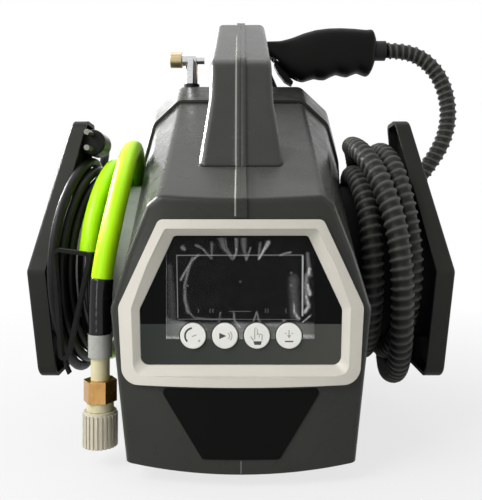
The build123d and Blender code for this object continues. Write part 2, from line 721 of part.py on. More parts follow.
save(bar_y(pin_radius, gun_y - pin_half, gun_y + pin_half, pivot_x, pivot_z), "trigger_pin")
spring_face = make_face(Polyline(*above_nut(
    [(64, 19.6), (55, 19.6), (46.6, 9.4), (47.1, 9.0), (55.3, 18.9), (64, 18.9)]), close=True))
save(front_extrusion(spring_face, gun_y - 3, gun_y + 3), "trigger_spring")
nut = bar_z(13.0, nut_base, head_floor, barrel_x, gun_y)
nut -= bar_z(barrel_radius + screw_fit, nut_base - 1, head_floor + 1, barrel_x, gun_y)
save(nut, "gun_nut")
barrel = bar_z(barrel_radius, barrel_bottom, barrel_top, barrel_x, gun_y)
save(barrel - bar_z(3.0, barrel_bottom - 1, barrel_top + 1, barrel_x, gun_y), "gun_barrel")
gun_pipe_z = nut_base + 23.2
gun_valve = bar_z(9.0, barrel_top, barrel_top + 6.5, barrel_x, gun_y) + bar_x(3.5, barrel_x + 8, cuff_inner_x, gun_y, gun_pipe_z)
save(gun_valve, "gun_valve")
cuff = bar_x(cuff_radius, cuff_inner_x, cuff_end_x, gun_y, cuff_z)
cuff += bar_x(cuff_radius + 1.5, cuff_inner_x, cuff_inner_x + 3, gun_y, cuff_z)
save(cuff - bar_x(steam_bore, cuff_inner_x + 4, cuff_end_x + 1, gun_y, cuff_z), "hose_cuff")

# Holster: pedestal on the deck with a closed cup below it.
cup_bottom = 255.0
cup_radius = holster_bore + holster_wall
pedestal_height = holster_top_z - deck_z
holster = Pos(barrel_x, gun_y, deck_z + pedestal_height / 2) * Cone(
    holster_base_radius, holster_top_radius, pedestal_height)
holster += bar_z(cup_radius, cup_bottom, deck_z, barrel_x, gun_y)
holster -= bar_z(holster_bore, cup_bottom + 3, holster_top_z + 1, barrel_x, gun_y)
save(holster, "holster")

# Bleed valve on the deck.
gasket_top = deck_z + 5.0
valve_stem = 5.0
valve_head_left = valve_x - 10.0
valve_head_right = valve_x + 5.0
spindle_radius = 2.5
gasket = bar_z(8.5, deck_z, gasket_top, valve_x, valve_y)
save(gasket - bar_z(valve_stem + screw_fit, deck_z - 1, gasket_top + 1, valve_x, valve_y), "valve_gasket")
valve = bar_z(valve_stem, deck_z - 16, gasket_top, valve_x, valve_y)
valve += bar_z(7.0, gasket_top, valve_axis_z, valve_x, valve_y)
valve += bar_x(6.5, valve_head_left, valve_head_right, valve_y, valve_axis_z)
valve += bar_x(4.5, valve_head_right, valve_head_right + 9, valve_y, valve_axis_z)
valve -= bar_x(spindle_radius + screw_fit, valve_head_left - 1, valve_x + 1, valve_y, valve_axis_z)
save(valve, "valve_post")
knob = bar_x(8.5, valve_head_left - 13.3, valve_head_left - 0.3, valve_y, valve_axis_z)
knob = fillet(knob.edges().filter_by(GeomType.CIRCLE), 0.8)
knob += bar_x(spindle_radius, valve_head_left - 1, valve_x, valve_y, valve_axis_z)
save(knob, "valve_knob")

# Inside: boiler on saddles, heater, valve, switch, pump, power board, pipes.
boiler_radius = 48.0
boiler_wall = 2.5
boiler_z = 84.0
boiler_front = -85.0
boiler_back = 55.0
boiler_block = bar_y(boiler_radius, boiler_front, boiler_back, 0, boiler_z)
boiler = boiler_block - bar_y(
    boiler_radius - boiler_wall, boiler_front + boiler_wall, boiler_back - boiler_wall, 0, boiler_z)
heater_z = 68.0
boiler -= bar_y(16.0, boiler_front - 1, boiler_front + boiler_wall + 1, 0, heater_z)
save(boiler, "boiler")
saddles = Part()
for y in (-60.0, 30.0):
    saddles += block((-36, 36), (y - 6, y + 6), (5, 62))
save((saddles - boiler_block) & belly(tray_thickness), "boiler_saddles")
heater = bar_y(21.0, boiler_front - 6, boiler_front, 0, heater_z) + bar_x(4.0, -9, 9, 36, heater_z)
for x in (-9.0, 9.0):
    heater += bar_y(4.0, boiler_front - 14, 36, x, heater_z) + Pos(x, 36, heater_z) * Sphere(4.0)
save(heater, "heater")
solenoid_y = 30.0
solenoid = block((-13, 13), (solenoid_y - 13, solenoid_y + 13), (126, 150)) - boiler_block
solenoid += bar_z(9.0, 150, 176, 0, solenoid_y)
switch = bar_z(10.0, 120, 152, 0, -50) - boiler_block
save(Compound(children=[solenoid, switch]), "boiler_fittings")
pump_x = -42.0
pump_y = 84.0
pump_base = 16.0
pump_top = 92.0
plunger_radius = 6.0
plunger_floor = 40.0
pump = bar_z(18.0, pump_base - 8, pump_top, pump_x, pump_y) & belly(tray_thickness)
pump -= bar_z(plunger_radius + screw_fit, plunger_floor, pump_top - 6, pump_x, pump_y)
save(pump, "pump_body")
save(bar_z(plunger_radius, plunger_floor + 0.3, plunger_floor + 34, pump_x, pump_y), "pump_plunger")
board_back = 151.6
power_board = block((-45, 45), (board_back - board_thickness, board_back), (140, 215))
power_board += block((-30, -5), (board_back - 22, board_back - board_thickness), (150, 180))
power_board += bar_y(9.0, board_back - 26, board_back - board_thickness, 22, 165)
power_board += block((-30, 30), (board_back - 12, board_back - board_thickness), (192, 206))
save(power_board, "power_board")
pipe_radius = 4.0
steam_pipe = soft_path([stop(13, solenoid_y, 138, 1, 0, 0), stop(84, outlet_y, outlet_z, 1, 0, 0)])
feed_pipe = soft_path([stop(-84, outlet_y, outlet_z, 1, 0, 0), stop(-62, 62, 140, 0.3, 1, 0),
                       stop(pump_x, pump_y, pump_top, 0, 0, -1)])
fill_pipe = soft_path([stop(pump_x + 18, pump_y, 60, 1, 0, 0), stop(0, boiler_back, boiler_z, 0, -1, 0)])
pipes = [tube(path, pipe_radius, pipe_radius - 1) for path in (steam_pipe, feed_pipe, fill_pipe)]
save(Compound(children=pipes), "pipes")

# Rear cover with its posts, board supports and the holes for what passes through it.
cover = cover_shell + posts(cover_posts, cover_outer)
for x in (-38.0, 38.0):
    for z in (147.0, 208.0):
        cover += bar_y(4.0, board_back, cover_end - 1, x, z)
cover = cover - screw_cuts - right_hole - left_hole
cover -= bar_x(gland_radius + screw_fit, -140, -60, gland_y, gland_z)
cover -= bar_z(cup_radius + screw_fit, deck_z - 10, deck_z + 10, barrel_x, gun_y)
cover -= bar_z(valve_stem + screw_fit, deck_z - 10, deck_z + 10, valve_x, valve_y)
save(cover, "rear_cover")
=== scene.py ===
"""A portable steam pressure washer with its hoses and cord wound on the two sides."""

import math
from contextlib import contextmanager

import bmesh
import bpy
import numpy as np
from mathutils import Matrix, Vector


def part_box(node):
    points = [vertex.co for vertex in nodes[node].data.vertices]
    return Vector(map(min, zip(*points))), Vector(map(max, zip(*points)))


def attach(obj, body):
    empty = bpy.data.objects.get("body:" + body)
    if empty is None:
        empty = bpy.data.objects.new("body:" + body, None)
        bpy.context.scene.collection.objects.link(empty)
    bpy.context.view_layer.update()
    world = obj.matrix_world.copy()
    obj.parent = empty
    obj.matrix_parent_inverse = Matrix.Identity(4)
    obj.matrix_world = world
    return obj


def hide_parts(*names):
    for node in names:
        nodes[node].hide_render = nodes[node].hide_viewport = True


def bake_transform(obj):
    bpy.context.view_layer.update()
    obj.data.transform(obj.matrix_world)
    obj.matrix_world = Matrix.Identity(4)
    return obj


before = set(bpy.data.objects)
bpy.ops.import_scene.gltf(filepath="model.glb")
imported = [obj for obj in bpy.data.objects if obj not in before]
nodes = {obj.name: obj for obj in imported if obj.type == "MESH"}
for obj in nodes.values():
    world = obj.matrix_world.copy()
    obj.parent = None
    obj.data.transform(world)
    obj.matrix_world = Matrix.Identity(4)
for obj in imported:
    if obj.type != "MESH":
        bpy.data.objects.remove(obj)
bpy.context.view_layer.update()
MM = 0.001


# -------------------- materials

def srgb(*levels):
    """A colour given as sRGB levels, 0 to 255, in linear values."""
    return tuple(((c / 255 + 0.055) / 1.055) ** 2.4 for c in levels) + (1.0,)


def shade(colour, share):
    """The same colour, lighter or darker."""
    return tuple(min(1.0, c * share) for c in colour[:3]) + (1.0,)


# Noise keeps mostly within these levels.
NOISE_LOW, NOISE_HIGH = 0.3, 0.7

# Cosines between the true and the eased normal: away from an edge, and on it.
OFF_EDGE, ON_EDGE = 0.985, 0.86

# Height of a moulded grain.
GRAIN_HEIGHT = 0.15 * MM

# Places of a mix node's colours among its sockets.
MIX_SHARE, MIX_FIRST, MIX_SECOND, MIX_RESULT = 0, 6, 7, 2

# A painted highlight runs along the left edge of the spine: how far from the edge that is full and gone, and
# how it ends.
SPINE_HALF = 4.0 * MM
HIGHLIGHT_FULL = 0.3 * MM
HIGHLIGHT_GONE = 0.8 * MM
HIGHLIGHT_FADE = 0.4 * MM
HIGHLIGHT_SHARE = 0.8
HIGHLIGHT_TONE = srgb(158, 158, 152)


class Finish:
    """A material in the making, with short calls for the nodes that it uses."""

    def __init__(self, name, **sockets):
        self.material = bpy.data.materials.new(name)
        self.material.use_nodes = True
        self.tree = self.material.node_tree
        self.shader = self.tree.nodes["Principled BSDF"]
        for socket, value in sockets.items():
            self.shader.inputs[socket.replace("_", " ")].default_value = value
        self.place = self.add("ShaderNodeTexCoord").outputs["Object"]

    def feed(self, socket, value):
        if isinstance(value, bpy.types.NodeSocket):
            self.tree.links.new(value, socket)
        else:
            socket.default_value = value

    def add(self, kind, settings=None, **inputs):
        node = self.tree.nodes.new(kind)
        for name, value in (settings or {}).items():
            setattr(node, name, value)
        for name, value in inputs.items():
            self.feed(node.inputs[name.replace("_", " ")], value)
        return node

    def noise(self, scale, detail=2.0, stretch=None):
        place = self.place
        if stretch:
            place = self.add("ShaderNodeMapping", Vector=place, Scale=stretch).outputs["Vector"]
        return self.add("ShaderNodeTexNoise", Vector=place, Scale=scale, Detail=detail).outputs["Fac"]

    def spread(self, value, low, high, to_low=0.0, to_high=1.0):
        """The value, with its range from low to high brought to another range."""
        ends = {"From_Min": low, "From_Max": high, "To_Min": to_low, "To_Max": to_high}
        return self.add("ShaderNodeMapRange", Value=value, **ends).outputs["Result"]

    def vary(self, noise, to_low=0.0, to_high=1.0):
        """Noise, with its usual range brought to another range."""
        return self.spread(noise, NOISE_LOW, NOISE_HIGH, to_low, to_high)

    def mix(self, share, first, second):
        node = self.add("ShaderNodeMix", {"data_type": "RGBA"})
        self.feed(node.inputs[MIX_SHARE], share)
        self.feed(node.inputs[MIX_FIRST], first)
        self.feed(node.inputs[MIX_SECOND], second)
        return node.outputs[MIX_RESULT]

    def math(self, operation, first, second):
        node = self.add("ShaderNodeMath", {"operation": operation})
        self.feed(node.inputs[0], first)
        self.feed(node.inputs[1], second)
        return node.outputs[0]

    def axis(self, name):
        return self.add("ShaderNodeSeparateXYZ", Vector=self.place).outputs[name]

    def edges(self, radius):
        """The normal with the edges rounded off, and how near a point is to an edge."""
        soft = self.add("ShaderNodeBevel", {"samples": 4}, Radius=radius).outputs["Normal"]
        true = self.add("ShaderNodeNewGeometry").outputs["Normal"]
        dot = self.add("ShaderNodeVectorMath", {"operation": "DOT_PRODUCT"})
        self.feed(dot.inputs[0], soft)
        self.feed(dot.inputs[1], true)
        return soft, self.spread(dot.outputs["Value"], OFF_EDGE, ON_EDGE)

    def bump(self, height, strength, distance, normal=None):
        node = self.add("ShaderNodeBump", Height=height, Strength=strength, Distance=distance)
        if normal is not None:
            self.feed(node.inputs["Normal"], normal)
        return node.outputs["Normal"]

    def surface(self, colour, rough, normal=None):
        """The material, with its colour, roughness and normal fed in."""
        self.feed(self.shader.inputs["Base Color"], colour)
        self.feed(self.shader.inputs["Roughness"], rough)
        if normal is not None:
            self.feed(self.shader.inputs["Normal"], normal)
        return self.material

    def wear(self, base, coarse=18.0, mottle=0.10, rough=(0.38, 0.48), worn=None, worn_share=0.5,
             grain=2200.0, depth=0.25, bevel=0.6 * MM, spine=None):
        """Tone that drifts over the piece, paler edges, a fine grain and uneven gloss.

        Spine gives how far back and from what height a painted highlight runs along the left edge of the spine.
        """
        drift = self.noise(coarse, 3.0)
        fine = self.noise(grain, 2.0)
        tone = self.mix(self.vary(drift), shade(base, 1 - mottle), shade(base, 1 + mottle))
        speck = self.mix(self.spread(fine, 0.35, 0.75, 0.0, 0.35), tone, shade(base, 1.25))
        soft, edge = self.edges(bevel)
        patch = self.spread(self.noise(coarse * 9, 4.0), 0.42, 0.62)
        share = self.math("MULTIPLY", self.math("MULTIPLY", edge, patch), worn_share)
        colour = self.mix(share, speck, worn or shade(base, 1.8))
        # Painted highlight: a pale line along the left edge of the spine, where light would catch its raised
        # edge.
        if spine:
            back, height = spine
            off_line = self.math("ABSOLUTE", self.math("ADD", self.axis("X"), SPINE_HALF), 0.0)
            narrow = self.spread(off_line, HIGHLIGHT_GONE, HIGHLIGHT_FULL)
            in_front = self.spread(self.axis("Y"), back, back - HIGHLIGHT_FADE)
            above = self.spread(self.axis("Z"), height, height + HIGHLIGHT_FADE, 0.0, HIGHLIGHT_SHARE)
            line = self.math("MULTIPLY", self.math("MULTIPLY", narrow, in_front), above)
            colour = self.mix(line, colour, HIGHLIGHT_TONE)
        gloss = self.vary(self.noise(coarse * 3, 4.0), *rough)
        return self.surface(colour, gloss, self.bump(fine, depth, GRAIN_HEIGHT, soft))


def plastic(name, specular, base, **wear):
    """A worn plastic or rubber, with how strongly it mirrors."""
    return Finish(name, Specular_IOR_Level=specular).wear(base, **wear)


def metal(name, base, rough, brushed=(1.0, 1.0, 1.0), grain=900.0, stain=None, stain_share=0.3):
    """Bare metal with drawn lines, stains and uneven polish."""
    f = Finish(name, Metallic=1.0)
    lines = f.noise(grain, 3.0, brushed)
    cloud = f.noise(60.0, 4.0)
    tone = f.mix(f.vary(lines), shade(base, 0.9), shade(base, 1.06))
    colour = f.mix(f.spread(cloud, 0.48, 0.7, 0.0, stain_share), tone, stain or shade(base, 0.6))
    soft, _ = f.edges(0.4 * MM)
    return f.surface(colour, f.vary(f.noise(130.0, 4.0), *rough), f.bump(lines, 0.12, 0.08 * MM, soft))


def panel_finish():
    """Gloss acrylic, black above and slate grey behind the row of keys, with faint wiping marks. The slate is
    painted lighter to the right as a painted reflection.
    """
    f = Finish("panel_acrylic", Specular_IOR_Level=0.06)
    band_top = 111.6 * MM
    band_fade = 0.3 * MM
    band_half = 64.0 * MM
    band = f.spread(f.axis("Z"), band_top, band_top - band_fade)
    smear = f.noise(50.0, 4.0, (1.0, 1.0, 0.25))
    black = f.mix(f.spread(smear, 0.4, 0.8), srgb(5, 6, 6), srgb(11, 12, 12))
    # Painted reflection: the slate goes from darker at the left to lighter at the right.
    slate = f.mix(f.spread(f.axis("X"), -band_half, band_half), srgb(50, 54, 51), srgb(72, 73, 69))
    return f.surface(f.mix(band, black, slate), f.spread(smear, 0.35, 0.7, 0.1, 0.2), f.edges(0.4 * MM)[0])


def board_finish():
    """Green circuit board with copper lines under the lacquer."""
    f = Finish("circuit_board", Coat_Weight=0.3)
    lines = f.add("ShaderNodeTexBrick", Vector=f.place, Scale=90.0, Mortar_Size=0.03).outputs["Fac"]
    cloud = f.noise(40.0, 3.0)
    green = f.mix(f.vary(cloud), srgb(22, 70, 40), srgb(30, 84, 48))
    return f.surface(f.mix(lines, green, srgb(74, 120, 60)), f.vary(cloud, 0.3, 0.45))


def steam_hose_finish():
    """Ribbed black rubber, dusty grey on the ribs, with the grooves between them painted near-black as painted
    shade.
    """
    f = Finish("steam_hose_rubber", Specular_IOR_Level=0.14)
    base = srgb(78, 78, 74)
    relief = f.add("ShaderNodeAttribute", {"attribute_name": "relief"}).outputs["Fac"]
    dust = f.noise(70.0, 5.0)
    fine = f.noise(1500.0, 3.0)
    soft, edge = f.edges(0.6 * MM)
    tone = f.mix(f.spread(dust, 0.35, 0.7), shade(base, 0.8), shade(base, 1.2))
    # The grooves are painted near-black as painted shade; the ribs carry the dusty tone.
    ribs = f.mix(f.spread(relief, 0.0, 0.85), srgb(28, 28, 27), tone)
    colour = f.mix(f.math("MULTIPLY", edge, 0.4), ribs, srgb(96, 96, 93))
    return f.surface(colour, f.vary(dust, 0.42, 0.58), f.bump(fine, 0.3, GRAIN_HEIGHT, soft))


def water_hose_finish():
    """Bright green soft vinyl, faintly translucent, with drawing lines and scuffs."""
    f = Finish("water_hose_vinyl", Specular_IOR_Level=0.3, Subsurface_Weight=0.15,
               Subsurface_Radius=(0.004, 0.006, 0.001))
    base = srgb(182, 252, 0)
    cloud = f.noise(30.0, 4.0)
    scuff = f.spread(f.noise(260.0, 5.0), 0.64, 0.74)
    tone = f.mix(f.vary(cloud), shade(base, 0.94), srgb(192, 255, 10))
    colour = f.mix(f.math("MULTIPLY", scuff, 0.3), tone, srgb(206, 250, 80))
    drawn = f.bump(f.noise(700.0, 3.0), 0.12, 0.2 * MM)
    return f.surface(colour, f.vary(f.noise(120.0, 4.0), 0.3, 0.42), drawn)


def strap_finish():
    """Black hook-and-loop tape with its nap."""
    f = Finish("strap_tape", Specular_IOR_Level=0.15, Sheen_Weight=0.06, Sheen_Roughness=0.5)
    weave = f.add("ShaderNodeTexVoronoi", Vector=f.place, Scale=1400.0).outputs["Distance"]
    cloud = f.noise(90.0, 4.0)
    tone = f.mix(f.vary(cloud), srgb(12, 12, 12), srgb(20, 20, 20))
    colour = f.mix(f.spread(weave, 0.1, 0.7, 0.0, 0.5), tone, srgb(34, 34, 33))
    return f.surface(colour, f.vary(cloud, 0.75, 0.9), f.bump(weave, 0.6, 0.3 * MM))


def film_finish():
    """Thin clear protective film: nearly unseen where it lies flat, milky over the slate band, and whitened in
    its folds and at its side edges as painted reflection.
    """
    f = Finish("clear_film", Specular_IOR_Level=0.3)
    fold = f.add("ShaderNodeAttribute", {"attribute_name": "fold"}).outputs["Fac"]
    haze = f.noise(160.0, 4.0)
    colour = f.mix(f.vary(haze), srgb(214, 216, 216), srgb(240, 241, 240))
    # The folds and side edges are made whiter and less clear as painted reflection.
    veil = f.math("ADD", f.spread(haze, 0.4, 0.8, 0.004, 0.012), f.math("MULTIPLY", fold, 0.8))
    f.feed(f.shader.inputs["Alpha"], veil)
    return f.surface(colour, f.vary(haze, 0.12, 0.24))


def ink_finish(name, base):
    """Printed ink, slightly uneven."""
    f = Finish(name)
    cover = f.noise(900.0, 3.0)
    return f.surface(f.mix(f.spread(cover, 0.3, 0.75), base, shade(base, 1.25)), f.vary(cover, 0.4, 0.55))


# Looks of the slots. The casing and the handle come plain and with a painted highlight along the left edge of
# the spine.
casing_wear = {"base": srgb(48, 49, 45), "rough": (0.24, 0.34), "depth": 0.15}
handle_wear = {
    "base": srgb(49, 50, 46), "rough": (0.2, 0.3), "depth": 0.15, "bevel": 3.2 * MM, "worn_share": 0.3}
slot_looks = {
    "casing": plastic("casing_plastic", 0.16, **casing_wear),
    "tray": plastic("tray_plastic", 0.12, srgb(36, 36, 34), rough=(0.5, 0.6)),
    "feet": plastic("foot_rubber", 0.2, srgb(26, 26, 26), rough=(0.72, 0.85), grain=1400.0, depth=0.4),
    "screws": metal("zinc_screws", srgb(120, 121, 122), (0.3, 0.45)),
    "bezel": Finish("bezel_paint").wear(
        srgb(203, 199, 188), rough=(0.3, 0.4), mottle=0.03, worn=srgb(236, 232, 222), worn_share=0.35,
        grain=3000.0, depth=0.08),
    "panel": panel_finish(),
    "film": film_finish(),
    "electronics": board_finish(),
    "buttons": Finish("button_plastic", Subsurface_Weight=0.08, Subsurface_Radius=(0.002, 0.002, 0.002)).wear(
        srgb(226, 226, 220), rough=(0.34, 0.44), mottle=0.03, worn=srgb(200, 199, 192), worn_share=0.4,
        grain=2600.0, depth=0.1),
    "plates": plastic("plate_plastic", 0.1, srgb(38, 38, 35), rough=(0.36, 0.46), mottle=0.12),
    "steam_hose": steam_hose_finish(),
    "water_hose": water_hose_finish(),
    "black_soft": plastic(
        "soft_black", 0.16, srgb(18, 18, 17), rough=(0.36, 0.48), mottle=0.16, grain=1800.0, depth=0.2,
        worn_share=0.25),
    "clear": Finish("clear_sleeve_vinyl", Subsurface_Weight=0.3, Subsurface_Radius=(0.004, 0.004, 0.004)).wear(
        srgb(162, 164, 157), rough=(0.22, 0.36), mottle=0.06, worn=srgb(205, 208, 210), worn_share=0.5,
        grain=900.0, depth=0.15),
    "cream": Finish("cream_plastic", Subsurface_Weight=0.15, Subsurface_Radius=(0.003, 0.0025, 0.0015)).wear(
        srgb(205, 199, 160), rough=(0.3, 0.42), mottle=0.05, worn=srgb(208, 198, 158), worn_share=0.5,
        grain=1800.0, depth=0.12),
    "brass": metal("brass", srgb(206, 160, 100), (0.2, 0.32), (1, 1, 0.15), stain=srgb(150, 100, 55)),
    "collar": Finish("collar_plastic", Transmission_Weight=0.06, IOR=1.45).wear(
        srgb(206, 199, 178), rough=(0.26, 0.4), mottle=0.08, worn=srgb(205, 200, 190), worn_share=0.5,
        grain=1600.0, depth=0.15),
    "chrome": metal("chrome", srgb(214, 215, 217), (0.05, 0.12), grain=400.0, stain_share=0.12),
    "gun": plastic(
        "grip_plastic", 0.07, srgb(17, 17, 16), rough=(0.36, 0.48), grain=1500.0, depth=0.45, mottle=0.14),
    "steel": metal("steel", srgb(165, 166, 168), (0.24, 0.4), (1, 0.1, 1)),
}

# Nodes that look different from the rest of their slot.
node_looks = {
    # The left halves carry the painted highlight along the left edge of the spine.
    "casing_left": plastic("casing_plastic_spine", 0.16, **casing_wear, spine=(-0.1203, 0.187)),
    "handle_left": plastic("handle_plastic_spine", 0.3, **handle_wear, spine=(0.0, 0.2)),
    "handle_right": plastic("handle_plastic", 0.3, **handle_wear),
    "front_plate": plastic(
        "front_plate_film", 0.06, srgb(9, 9, 8), rough=(0.32, 0.42), mottle=0.15, grain=2600.0, depth=0.2),
    "valve_knob": metal("dull_brass", srgb(188, 172, 138), (0.26, 0.4), (0.15, 1, 1), stain=srgb(140, 122, 86)),
    "hose_cuff": plastic("cuff_rubber", 0.2, srgb(28, 28, 28), rough=(0.5, 0.62), mottle=0.14, depth=0.3),
    # The plug's pins are a darker, duller metal as painted shade under the plate.
    "plug_pins": metal("nickel_painted_shade", srgb(116, 114, 108), (0.34, 0.5), (1, 0.2, 1)),
    # The left core is painted pale as painted light, standing in for the brightly lit left flank of the casing.
    "wrap_core_left": plastic("pale_core_painted_light", 0.4, srgb(150, 155, 147), rough=(0.24, 0.34), mottle=0.06),
    # The right core is painted near-black as painted shade, for the deep shade between the turns.
    "wrap_core_right": plastic("dark_core_painted_shade", 0.1, srgb(14, 14, 14), rough=(0.6, 0.7), mottle=0.2),
}

# Looks of pieces that are drawn here.
sleeve_look = plastic(
    "shrink_sleeve", 0.32, srgb(10, 10, 10), rough=(0.12, 0.2), mottle=0.2, grain=900.0, depth=0.1,
    worn_share=0.1)
strap_look = strap_finish()
ink_look = ink_finish("dark_ink", srgb(52, 52, 50))
grey_ink_look = ink_finish("grey_ink", srgb(150, 150, 146))
frame_ink_look = ink_finish("frame_ink", srgb(158, 160, 160))
thin_ink_look = ink_finish("thin_frame_ink", srgb(98, 101, 102))
mark_ink_look = ink_finish("mark_ink", srgb(66, 68, 70))

for name, node in nodes.items():
    for held in node.material_slots:
        held.material = node_looks.get(name, slot_looks[held.material.name])


# -------------------- building

# Distances in metres below which points are one, are welded, or leave only a sliver.
SAME_POINT = 0.1e-6
WELD = 2e-6
SLIVER = 1e-6

# Part of a pitch that stays free at the end of a ribbed tube.
TURN_ROOM = 0.75


def added(name, data):
    """A new object in the scene."""
    thing = bpy.data.objects.new(name, data)
    bpy.context.scene.collection.objects.link(thing)
    return thing


def link(name, data, look, body=None):
    """A new object with its look, put on a body when one is given."""
    piece = added(name, data)
    data.materials.append(look)
    if body:
        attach(piece, body)
    return piece


def mesh_of(name, points, faces, smooth=True):
    mesh = bpy.data.meshes.new(name)
    mesh.from_pydata([tuple(p) for p in points], [], faces)
    mesh.validate()
    for polygon in mesh.polygons:
        polygon.use_smooth = smooth
    return mesh


@contextmanager
def editing(mesh):
    """The mesh opened for changes, which are written back at the end."""
    bm = bmesh.new()
    bm.from_mesh(mesh)
    yield bm
    bm.to_mesh(mesh)
    bm.free()


def drop_loose(bm):
    """Delete the points that no face uses."""
    bmesh.ops.delete(bm, geom=[v for v in bm.verts if not v.link_faces], context="VERTS")


def outward(mesh):
    """The mesh with the faces of each closed form turned outward."""
    with editing(mesh) as bm:
        bmesh.ops.recalc_face_normals(bm, faces=bm.faces)
    return mesh


def point_values(mesh, name, values):
    """Give each point of the mesh a number that its material can read."""
    numbers = mesh.attributes.new(name, "FLOAT", "POINT")
    numbers.data.foreach_set("value", values.reshape(-1).astype(np.float32))


def metres(points):
    """Points given in mm."""
    return [tuple(c * MM for c in p) for p in points]


def prisms(name, outlines, near, far):
    """Closed outlines of (x, z), each drawn out from the near to the far depth, in mm."""
    points, faces = [], []
    for outline in outlines:
        count = len(outline)
        front = list(range(len(points), len(points) + count))
        after = front[1:] + front[:1]
        faces += [tuple(front), tuple(i + count for i in reversed(front))]
        faces += [(i, j, j + count, i + count) for i, j in zip(front, after)]
        points += [(x, y, z) for y in (near, far) for x, z in outline]
    return outward(mesh_of(name, metres(points), faces, False))


def spline(name, points):
    """A smooth curve with the route's points as its control points."""
    curve = bpy.data.curves.new(name, "CURVE")
    curve.dimensions = "3D"
    line = curve.splines.new("NURBS")
    line.points.add(len(points) - 1)
    for control, at in zip(line.points, points):
        control.co = (*at, 1.0)
    line.order_u = 3
    line.use_endpoint_u = True
    line.resolution_u = 8
    curve.resolution_u = 8
    return curve


def centreline(points):
    """The points of the route's own spline, in order."""
    curve = spline("route", points)
    carrier = added("route", curve)
    bpy.context.view_layer.update()
    mesh = bpy.data.meshes.new_from_object(carrier)
    line = np.array([v.co[:] for v in mesh.vertices])
    bpy.data.objects.remove(carrier)
    bpy.data.curves.remove(curve)
    bpy.data.meshes.remove(mesh)
    return line


class Rail:
    """A line with its length and with frames that don't twist, to sweep a section along."""

    def __init__(self, line):
        keep = np.concatenate(([True], np.linalg.norm(np.diff(line, axis=0), axis=1) > SAME_POINT))
        self.line = line[keep]
        steps = np.linalg.norm(np.diff(self.line, axis=0), axis=1)
        self.along = np.concatenate(([0.0], np.cumsum(steps)))
        tangents = np.gradient(self.line, self.along, axis=0)
        self.tangents = tangents / np.linalg.norm(tangents, axis=1)[:, None]
        side = np.cross(self.tangents[0], (0.31, 0.83, 0.46))
        sides = []
        for t in self.tangents:
            side = side - t * side.dot(t)
            side = side / np.linalg.norm(side)
            sides.append(side)
        self.sides = np.array(sides)
        self.length = self.along[-1]

    def read(self, table, s):
        """Rows of a table that goes with the line, at places along it."""
        return np.stack([np.interp(s, self.along, table[:, i]) for i in range(3)], axis=-1)

    def at(self, s, angle, radius):
        """Points round the line: how far along, at what angle and how far out."""
        s = np.clip(s, 0, self.length)
        tangent = self.read(self.tangents, s)
        side = self.read(self.sides, s)
        up = np.cross(tangent, side)
        offset = side * np.cos(angle)[..., None] + up * np.sin(angle)[..., None]
        return self.read(self.line, s) + offset * radius[..., None]


def closed_tube(name, points, rows, columns, shift=0, relief=None):
    """Quads over rows of points round a tube, with its ends closed.

    After a full turn a row goes on in the row that is shift further.
    """
    def index(row, column):
        if column == columns:
            return (row + shift) * columns
        return row * columns + column

    faces = []
    for row in range(rows - 1 - shift):
        for column in range(columns):
            faces.append((index(row, column), index(row, column + 1),
                          index(row + 1, column + 1), index(row + 1, column)))
    mesh = mesh_of(name, points.reshape(-1, 3), faces)
    if relief is not None:
        point_values(mesh, "relief", relief)
    with editing(mesh) as bm:
        bmesh.ops.remove_doubles(bm, verts=bm.verts, dist=WELD)
        bmesh.ops.dissolve_degenerate(bm, dist=SLIVER, edges=bm.edges)
        drop_loose(bm)
        rims = [e for e in bm.edges if e.is_boundary]
        bmesh.ops.holes_fill(bm, edges=rims, sides=0)
        bmesh.ops.recalc_face_normals(bm, faces=bm.faces)
        for face in bm.faces:
            face.smooth = True
    return mesh


def ribbed_tube(name, line, pitch, profile, columns=20):
    """A tube with a rib wound round it, and the rail of its line.

    Profile lists (place in the pitch, radius). The ends run on into what holds them.
    """
    rail = Rail(line)
    before = line[:1] - rail.tangents[0] * pitch
    after = line[-1:] + rail.tangents[-1] * 2 * pitch
    longer = Rail(np.vstack((before, line, after)))
    turns = math.floor(longer.length / pitch - TURN_ROOM)
    places = np.array([k + u for k in range(turns) for u, _ in profile])
    radii = np.array([r for _ in range(turns) for _, r in profile])
    column = np.arange(columns) / columns
    s = (places[:, None] + column[None, :]) * pitch
    angle = np.broadcast_to(math.tau * column[None, :], s.shape)
    radii = np.broadcast_to(radii[:, None], s.shape)
    relief = (radii - radii.min()) / (radii.max() - radii.min())
    points = longer.at(s, angle, radii)
    return closed_tube(name, points, len(places), columns, len(profile), relief), rail


def turned_tube(name, line, profile, columns=28):
    """A tube that is round at each place: profile lists (place along the line, radius)."""
    rail = Rail(line)
    s = np.array([p for p, _ in profile])[:, None].repeat(columns, axis=1)
    radius = np.array([r for _, r in profile])[:, None].repeat(columns, axis=1)
    angle = np.broadcast_to(math.tau * np.arange(columns)[None, :] / columns, s.shape)
    return closed_tube(name, rail.at(s, angle, radius), len(profile), columns)


# -------------------- hoses and cord

# Centre and half-sizes of the oval cores, in mm, and how a turn round them is drawn.
WIND_Y = -27.0
WIND_Z = 146.0
CORE_DEPTH = 54.5
CORE_HEIGHT = 68.0
TURN_POINTS = 16
FULLNESS = 1 / math.cos(math.pi / TURN_POINTS)


